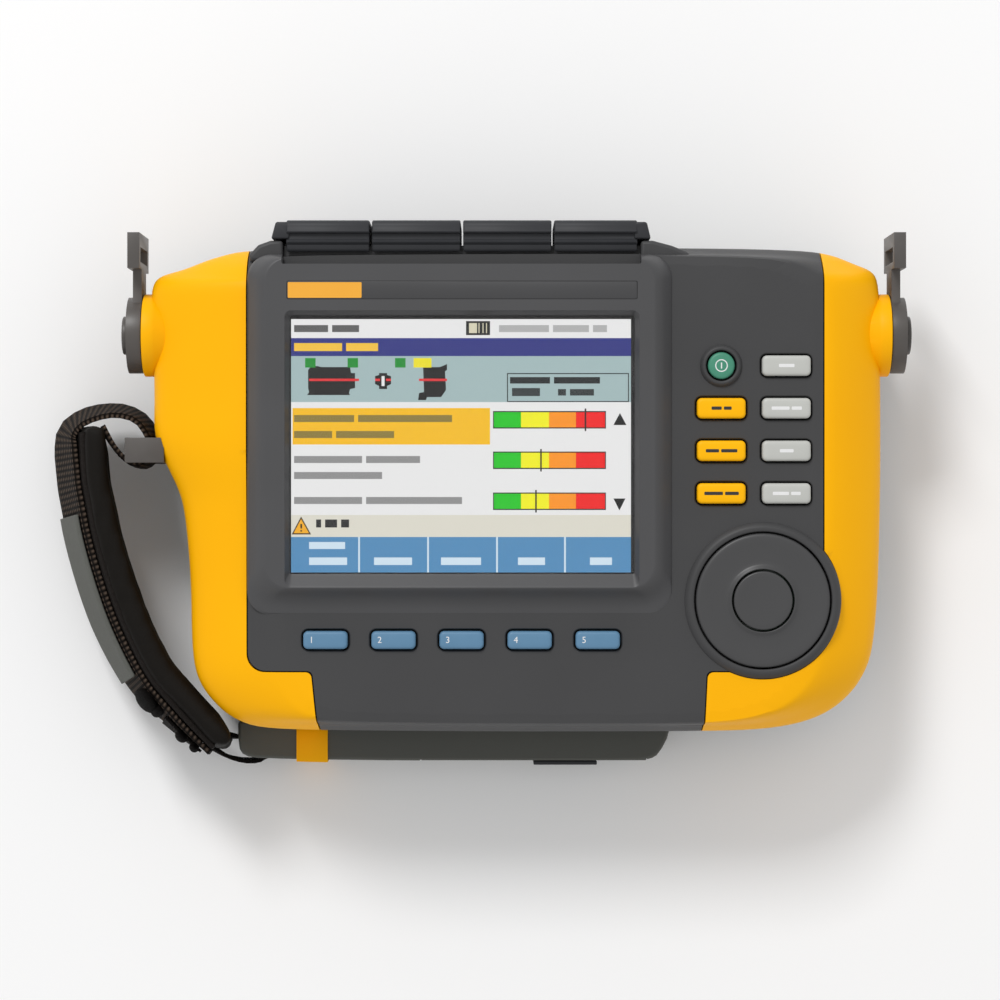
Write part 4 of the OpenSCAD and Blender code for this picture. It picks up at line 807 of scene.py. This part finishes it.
def displayPicture():
    for colour, top, bottom in pictureRows:
        field(colour, picture["left"], top, picture["right"], bottom)
    for line in pictureWords:
        words(*line)
    for part in pictureShapes:
        addPart(*part)
    for part in pictureFields:
        field(*part)
    for px in (478.5, 482.5, 486):
        field("#d8d2b8", px, 323, px + 1, 333, 2)
    # lamps over the machines, and the shaft line through them
    for px, width, colour in ((305, 10.5, "#0c8c2a"), (347.5, 10.5, "#0c8c2a"), (395, 10.5, "#0c8c2a"),
                              (413.5, 18, "#efe21a")):
        field(colour, px, 358, px + width, 367.5, 4)
    for left, right in ((309, 359), (375, 380), (386, 391), (419, 447)):
        field("#e0282c", left, 378.6, right, 381, 3)
    # scales from green to red, each with a marker
    for top, marker in ((411, 585.5), (451.5, 541), (492.5, 536)):
        field("#101010", 493, top, 606, top + 17.5, 1)
        for left, right, colour in ((494, 521, "#0cc414"), (521, 549, "#f3ef0a"), (549, 576, "#fb9408"),
                                    (576, 605, "#f00404")):
            field(colour, left, top + 1.2, right, top + 16.3, 2)
        field("#101010", marker - 0.8, top - 2.5, marker + 0.8, top + 20, 3)
    # lines between the soft key fields
    for px in (359, 428, 497, 565):
        field("#cfe0ec", px - 0.9, 537, px + 0.9, 572.5, 1)
    for colour, parts in pictureParts.items():
        settle(join(parts, "picture_" + colour[1:]), litPixels("litPixels_" + colour[1:], colour), "root", "display")


displayPicture()
# black border of the display under the window
borderRing = slabAbout("displayBorder", screen["x"], screen["y"], screen["w"] - 0.04, screen["h"] - 0.04,
                       screen["moduleTop"], screen["moduleTop"] + 0.012)
settle(borderRing, blackPrint, "root", "display")
print("display done")


# Printed signs on the keys: plain numbers and simple marks
signSpec = dict(numberSize=3.0, numberX=-4.6, extrude=0.02, barH=1.1, barGap=0.7, ringR=1.75, ringOuter=2.1,
                powerBarW=0.4, powerBarH=2.0,
                yellow=[(3.4, 2.6), (4.4, 5.4), (6.2, 4.6)], grey=[(5.2,), (6.0, 3.4), (4.6,), (5.4, 3.2)])


def printedNumber(number, x, y, z):
    deselect()
    bpy.ops.object.text_add()
    obj = bpy.context.object
    obj.data.body = str(number)
    obj.data.size = signSpec["numberSize"]
    obj.data.align_x = "CENTER"
    obj.data.align_y = "CENTER"
    obj.data.extrude = signSpec["extrude"]
    bpy.ops.object.convert(target="MESH")
    obj.name = "functionMark%d" % number
    settle(moved(obj, x, y, z), whitePrint, "f%d_button" % number, "function_key")


for number, (x, y) in enumerate(keySpots("function"), 1):
    printedNumber(number, x + signSpec["numberX"], y, keyTop + 0.01)


# Small bars stand on the other keys where their words would be
def printedBars(kind, number, x, y, widths, material):
    left = x - (sum(widths) + signSpec["barGap"] * (len(widths) - 1)) / 2
    bars = []
    for width in widths:
        bars.append(slab("bar", left, left + width, y - signSpec["barH"] / 2, y + signSpec["barH"] / 2,
                         keyTop - 0.05, keyTop + 0.02, 0.25, 2))
        left += width + signSpec["barGap"]
    settle(join(bars, "%sMark%d" % (kind, number)), material, "%s_%d_button" % (kind, number), kind + "_key")


for kind, material in (("yellow", blackPrint), ("grey", whitePrint)):
    for number, ((x, y), widths) in enumerate(zip(keySpots(kind), signSpec[kind]), 1):
        printedBars(kind, number, x, y, widths, material)

ringIn, ringOut = signSpec["ringR"], signSpec["ringOuter"]
powerMark = roundKey("powerMark", powerSpec, powerTop, [
    (ringIn, -0.02), (ringOut, -0.02), (ringOut, 0.03), (ringIn, 0.03)], 48)
powerBar = slabAbout("powerBar", powerSpec["x"], powerSpec["y"], signSpec["powerBarW"], signSpec["powerBarH"],
                     powerTop - 0.02, powerTop + 0.03)
settle(smoothed(join([powerMark, powerBar], "powerMark")), whitePrint, "power_button", "power_key")


# Hand strap
strap = dict(bow=30.0, lean=0.33, z=28.5, padT=9.4, padW=46.0, webT=1.8, webW=32.0, patchT=1.2, patchW=27.0,
             pileT=1.9, pileW=40.0, edgeT=8.6, gap=0.4, pinX=-127.99, pinY=13.04, pinR=2.5, tabW=20.0, tabT=1.0)
spineShares = [(0.84, 0.232, 1), (0.813, 0.037, 1), (0.76, -0.061, 1), (0.683, -0.215, 1), (0.477, -0.466, 1),
               (0.277, -0.634, 0.95), (0.027, -0.795, 0.85), (-0.207, -0.877, 0.7), (-0.457, -0.961, 0.5),
               (-0.75, -1.05, 0.3)]
innerShares = [(-0.47, 0.25, 0.35), (-0.40, 0.13, 0.3), (-0.33, 0.02, 0.25), (-0.225, -0.09, 0.2),
               (-0.115, -0.155, 0.1), (-0.01, -0.165, 0.05)]
outerShares = [(0.095, 0.16, 0), (-0.02, 0.367, 0.15), (-0.253, 0.467, 0.35), (-0.507, 0.453, 0.5),
               (-0.74, 0.375, 0.65), (-0.9, 0.219, 0.9), (-0.907, 0, 1)]


def pathDirection(path, i):
    a, b = path[max(i - 1, 0)], path[min(i + 1, len(path) - 1)]
    return Vector((b[0] - a[0], b[1] - a[1])).normalized()


def bandRing(path, i, offset, section):
    # section is a list of (thickness, width) offsets from the path
    d = pathDirection(path, i)
    x, y, lean, z = path[i]
    ring = []
    for u, v in section:
        away = offset + u + strap["lean"] * lean * v
        ring.append((x - d.y * away, y + d.x * away, z + v))
    return ring


def flatSection(t, w, edge=0.35, across=8):
    points = [(-t / 2 + edge, w / 2)]
    points += [(-t / 2, w / 2 - edge - (w - 2 * edge) * k / across) for k in range(across + 1)]
    points += [(-t / 2 + edge, -w / 2), (t / 2 - edge, -w / 2)]
    points += [(t / 2, -w / 2 + edge + (w - 2 * edge) * k / across) for k in range(across + 1)]
    return points + [(t / 2 - edge, w / 2)]


def bandAlong(name, path, offset, section):
    # the band's UV map measures it in metres: along the path, and round the section
    rings = [bandRing(path, i, offset, section) for i in range(len(path))]
    obj = loft(name, rings)
    smoothed(obj, 60)
    finder = KDTree(len(rings) * len(section))
    for i, ring in enumerate(rings):
        for j, point in enumerate(ring):
            finder.insert(point, i * len(section) + j)
    finder.balance()
    along = [0.0]
    for a, b in zip(path, path[1:]):
        along.append(along[-1] + math.dist(a[:2], b[:2]))
    while obj.data.uv_layers:
        obj.data.uv_layers.remove(obj.data.uv_layers[0])
    layer = obj.data.uv_layers.new(name="weave")
    for corner in obj.data.loops:
        i, j = divmod(finder.find(obj.data.vertices[corner.vertex_index].co)[1], len(section))
        layer.data[corner.index].uv = (along[i] * 0.001, (section[j][0] + section[j][1]) * 0.001)
    return obj


# Each point of a path has its place, its share of the lean and its height
spine = soften([(-case["reach"] - strap["bow"] * a, case["rise"] * b, c, strap["z"]) for a, b, c in spineShares],
               closed=False)
softSpine = soften(spine, closed=False)
webMid = -(strap["padT"] / 2 + strap["gap"] + strap["webT"] / 2)
patchMid = webMid - strap["webT"] / 2 - strap["gap"] - strap["patchT"] / 2
tabMid = webMid - (strap["webT"] + strap["tabT"]) / 2 - strap["gap"]
pinTurn = strap["pinR"] + 0.15 + strap["webT"] / 2


def webPath():
    # from its sewn end round the upper pin, and then along the outside of the pad
    def fromPin(shares):
        return [(strap["pinX"] + strap["bow"] * a, strap["pinY"] + strap["bow"] * b, c, strap["z"])
                for a, b, c in shares]
    around = [(x, y, 0, strap["z"]) for x, y in arc(strap["pinX"], strap["pinY"], pinTurn, -50, 34, 4)]
    outside = []
    for i in range(2, len(spine)):
        d = pathDirection(spine, i)
        x, y, lean, z = spine[i]
        outside.append((x - d.y * webMid, y + d.x * webMid, lean, z))
    return soften(fromPin(innerShares) + around + fromPin(outerShares) + outside, closed=False)


webbing = bandAlong("strapWebbing", webPath(), 0.0, flatSection(strap["webT"], strap["webW"]))


def padSection(t, w, share):
    # nearly as thick at its rims as in its middle; share draws it in at its ends
    half = []
    for v in [math.cos(math.pi * j / padShape["across"]) for j in range(padShape["across"] + 1)]:
        half.append((t / 2 * share * max(1 - abs(v) ** 7, 0.02) ** (1 / 7), v * w / 2 * (0.9 + 0.1 * share)))
    return [(-u, v) for u, v in half] + [(u, v) for u, v in reversed(half)]


# above and below are its steps past the ends of the spine. It is drawn slim, since inflating makes it fuller
padShape = dict(across=12, above=(-2.8, -1.6), below=(2.2, 4.0), slim=0.5, out=0.5)
padOut = (strap["padT"] - strap["edgeT"]) / 2 + padShape["out"]
pileMid = -strap["padT"] / 2 + strap["pileT"] / 2


def beyond(path, i, along):
    d = pathDirection(path, i)
    x, y, lean, z = path[i]
    return (x + d.x * along, y + d.y * along, lean, z)


def strapPad():
    path = ([beyond(softSpine, 0, along) for along in padShape["above"]] + softSpine
            + [beyond(softSpine, len(softSpine) - 1, along) for along in padShape["below"]])
    last = len(path) - 1
    ends = {0: 0.55, 1: 0.86, last - 2: 0.92, last - 1: 0.8, last: 0.5}
    t, w = strap["edgeT"] - padShape["slim"], strap["padW"] - 2 * padShape["slim"]
    return loft("strapPad", [bandRing(path, i, padOut, padSection(t, w, ends.get(i, 1.0)))
                             for i in range(len(path))])


pad = strapPad()
smoothed(pad, 80)
pile = bandAlong("strapPile", softSpine, pileMid, flatSection(strap["pileT"], strap["pileW"], 0.6))
patch = bandAlong("strapPatch", soften(spine[5:13], closed=False), patchMid,
                  flatSection(strap["patchT"], strap["patchW"]))
tab = bandAlong("strapTab", soften(spine[15:19], closed=False), tabMid,
                flatSection(strap["tabT"], strap["tabW"], 0.25, 4))

# Where the webbing is turned back and sewn down, it stands out in lumps: place along the spine, distance out of
# it, and half the length, thickness and height of each
lumpZ = 6.0
lumps = [(13.4, -8.2, 5.0, 2.6, 11.0), (14.3, -7.8, 2.2, 2.4, 8.0), (16.6, -8.6, 2.4, 1.8, 6.0),
         (17.6, -8.4, 1.8, 1.6, 5.0)]


def sewnLump(number, place, out, long, thick, tall):
    i = int(place)
    a, b = spine[i], spine[i + 1]
    x, y, lean, z = [p + (q - p) * (place - i) for p, q in zip(a, b)]
    d = pathDirection(spine, i)
    deselect()
    bpy.ops.mesh.primitive_uv_sphere_add(segments=20, ring_count=12, radius=1)
    obj = bpy.context.object
    obj.name = "sewnLump%d" % number
    for vertex in obj.data.vertices:
        along, outward, up = vertex.co.x * long, out + vertex.co.y * thick, vertex.co.z * tall
        outward += strap["lean"] * lean * (up + lumpZ)
        vertex.co = (x + d.x * along - d.y * outward, y + d.y * along + d.x * outward, z + lumpZ + up)
    return smoothed(obj, 80)


knots = [sewnLump(number, *lump) for number, lump in enumerate(lumps, 1)]

lowLoop = dict(pinX=-87.0, pinY=-89.56, z=13.5, turn=3.35, span=9.0, slope=1.0, t=1.4, w=14.0,
               inner=[(-1.42, 0.42, 0.5), (-0.95, 0.36, 0.2), (-0.45, 0.36, 0)],
               outer=[(-0.26, -0.54, 0), (-0.85, -0.565, -0.1), (-1.5, -0.4, -0.3), (-1.87, -0.18, -0.45),
                      (-2.4, 0.16, -0.5)])


def lowPath():
    w = lowLoop

    def fromPin(shares):
        return [(w["pinX"] + w["span"] * a, w["pinY"] + w["span"] * b, c, w["z"] - w["slope"] * a)
                for a, b, c in shares]
    around = [(x, y, 0, w["z"]) for x, y in arc(w["pinX"], w["pinY"], w["turn"], 85, -90, 7)]
    return soften(fromPin(w["inner"]) + around + fromPin(w["outer"]), closed=False)


loop = bandAlong("strapLowerLoop", lowPath(), 0.0, flatSection(lowLoop["t"], lowLoop["w"], 0.3, 4))


foam = dict(voxel=0.0026, pressure=4.0, frames=20, reach=0.0011)


def inflated(obj):
    # foam under cloth: the skin is remeshed and blown up a little, and no point moves further than the reach
    apply(obj, "REMESH", mode="VOXEL", voxel_size=foam["voxel"])
    before = [v.co.copy() for v in obj.data.vertices]
    pick(obj)
    cloth = obj.modifiers.new("skin", "CLOTH")
    cloth.settings.use_pressure = True
    cloth.settings.uniform_pressure_force = foam["pressure"]
    cloth.settings.effector_weights.gravity = 0
    cloth.point_cache.frame_start = 1
    cloth.point_cache.frame_end = foam["frames"]
    for number in range(1, foam["frames"] + 1):
        bpy.context.scene.frame_set(number)
    bpy.ops.object.modifier_apply(modifier="skin")
    bpy.context.scene.frame_set(1)
    for vertex, start in zip(obj.data.vertices, before):
        shift = vertex.co - start
        if shift.length > foam["reach"]:
            vertex.co = start + shift.normalized() * foam["reach"]
    apply(obj, "SUBSURF", levels=1, render_levels=1)
    return smoothed(obj, 80)


# Woven nylon: ribs across the band and threads along it, in metres of the band's own UV map. The raised cells take the
# lighter colour, as painted highlights on the crests of the weave. rib and thread are in millimetres, and drawn coarse
# enough to show
def wovenFinish(name, colour, second, rib, thread, depth):
    material, tree, shader = newMaterial(name)
    place = addNode(tree, "ShaderNodeTexCoord", {}).outputs["UV"]
    waves = [addNode(tree, "ShaderNodeTexWave", {"Vector": place, "Scale": 314.0 / width, "Distortion": 0.5,
                                                 "Detail": 1.0, "Detail Scale": 2.0}, bands_direction=direction)
             for width, direction in ((rib, "X"), (thread, "Y"))]
    cells = addNode(tree, "ShaderNodeMath", {0: waves[0].outputs["Fac"], 1: waves[1].outputs["Fac"]},
                    operation="MULTIPLY")
    # the raised cells are painted in the lighter colour: painted highlights on the crests
    tint(tree, shader, cells.outputs[0], second, colour)
    relief(tree, shader, cells.outputs[0], 1.0, depth)
    setInputs(shader, {"Roughness": 0.8, "Specular IOR Level": 0.06})
    return material


# A mat of fine threads on Object coordinates: curl is their size in millimetres
def pileFinish(name, colour, second, curl, depth, roughness):
    material, tree, shader = newMaterial(name)
    place = addNode(tree, "ShaderNodeTexCoord", {}).outputs["Object"]
    curls = addNode(tree, "ShaderNodeTexNoise", {"Vector": place, "Scale": 1000 / curl, "Detail": 6.0,
                                                 "Roughness": 0.7})
    tint(tree, shader, curls.outputs["Fac"], second, colour)
    relief(tree, shader, curls.outputs["Fac"], 1.0, depth)
    setInputs(shader, {"Roughness": roughness, "Specular IOR Level": 0.1})
    return material


# Broad webbing has the crests of its ribs painted light brown as painted highlights, and the fine one is nearly black
# with fainter painted highlights. The pad's cloth is a smooth dark skin
nylonWebbingPaintedHighlights = wovenFinish("wovenNylonWebbingPaintedHighlights", "#5a4d43", "#0a0807", 1.9, 3.0, 0.5)
fineWebbingPaintedHighlights = wovenFinish("fineNylonWebbingPaintedHighlights", "#26211e", "#0d0b0a", 0.9, 1.4, 0.25)
padFabric = pileFinish("laminatedPadFabric", "#191613", "#110f0d", 0.8, 0.12, 0.6)
# Loop pile drinks the light with bright specks, and the patch is a mid-grey felt
loopPile = pileFinish("blackLoopPile", "#2b2623", "#050404", 1.3, 0.9, 0.8)
patchPile = pileFinish("hookAndLoopPatch", "#656661", "#565753", 1.4, 0.2, 0.7)
settle(webbing, nylonWebbingPaintedHighlights, "root", "webbing", "strap_webbing")
settle(pad, padFabric, "root", "pad_fabric", "strap_pad")
inflated(pad)
settle(pile, loopPile, "root", "pad_fabric")
settle(rounded(patch, 0.3, 2, 40), patchPile, "root", "patch_fabric", "strap_patch")
settle(tab, fineWebbingPaintedHighlights, "root", "webbing", "strap_tab")
for knot in knots:
    settle(knot, fineWebbingPaintedHighlights, "root", "webbing")
settle(loop, fineWebbingPaintedHighlights, "root", "webbing", "strap_lower_loop")
print("strap done")

# Finishes of the CAD nodes that stay
keptNodes = {"case_seal": sealRubber, "display_window": acrylic, "display_module": blackPrint,
             "keypad_mat": sealRubber, "keypad_board": boardResist, "main_board": boardResist, "socket_panel": darkAbs,
             "battery_cells": cellWrap, "battery_contacts": gold, "case_screws": steel,
             "strap_pin_upper": steel, "strap_pin_lower": steel, "disc_cradle": greyKeyRubber}
for node, material in keptNodes.items():
    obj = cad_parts[node]
    obj.data.materials.clear()
    obj.data.materials.append(material)

# Studio: a pale floor, one large soft lamp at the upper left and an even sky
deselect()
bpy.ops.mesh.primitive_plane_add(size=6)
floor = bpy.context.object
floor.name = "floor"
floorMaterial, floorTree, floorShader = newMaterial("paleStudioFloor")
setInputs(floorShader, {"Base Color": linear("#f8f8f8"), "Roughness": 0.8, "Specular IOR Level": 0.2})
floor.data.materials.append(floorMaterial)

lampSpec = dict(place=(-0.95, 2.3, 2.5), size=0.9, power=62.0)
lamp = bpy.data.objects.new("softLamp", bpy.data.lights.new("softLamp", "AREA"))
bpy.context.collection.objects.link(lamp)
lamp.location = lampSpec["place"]
lamp.rotation_euler = (-Vector(lampSpec["place"])).to_track_quat("-Z", "Y").to_euler()
lamp.data.shape = "SQUARE"
lamp.data.size = lampSpec["size"]
lamp.data.energy = lampSpec["power"]

world = bpy.data.worlds.new("studioSky")
bpy.context.scene.world = world
world.use_nodes = True
setInputs(world.node_tree.nodes["Background"], {"Color": (1, 1, 1, 1), "Strength": 0.68})
bpy.context.scene.view_settings.view_transform = "Standard"
print("studio done")
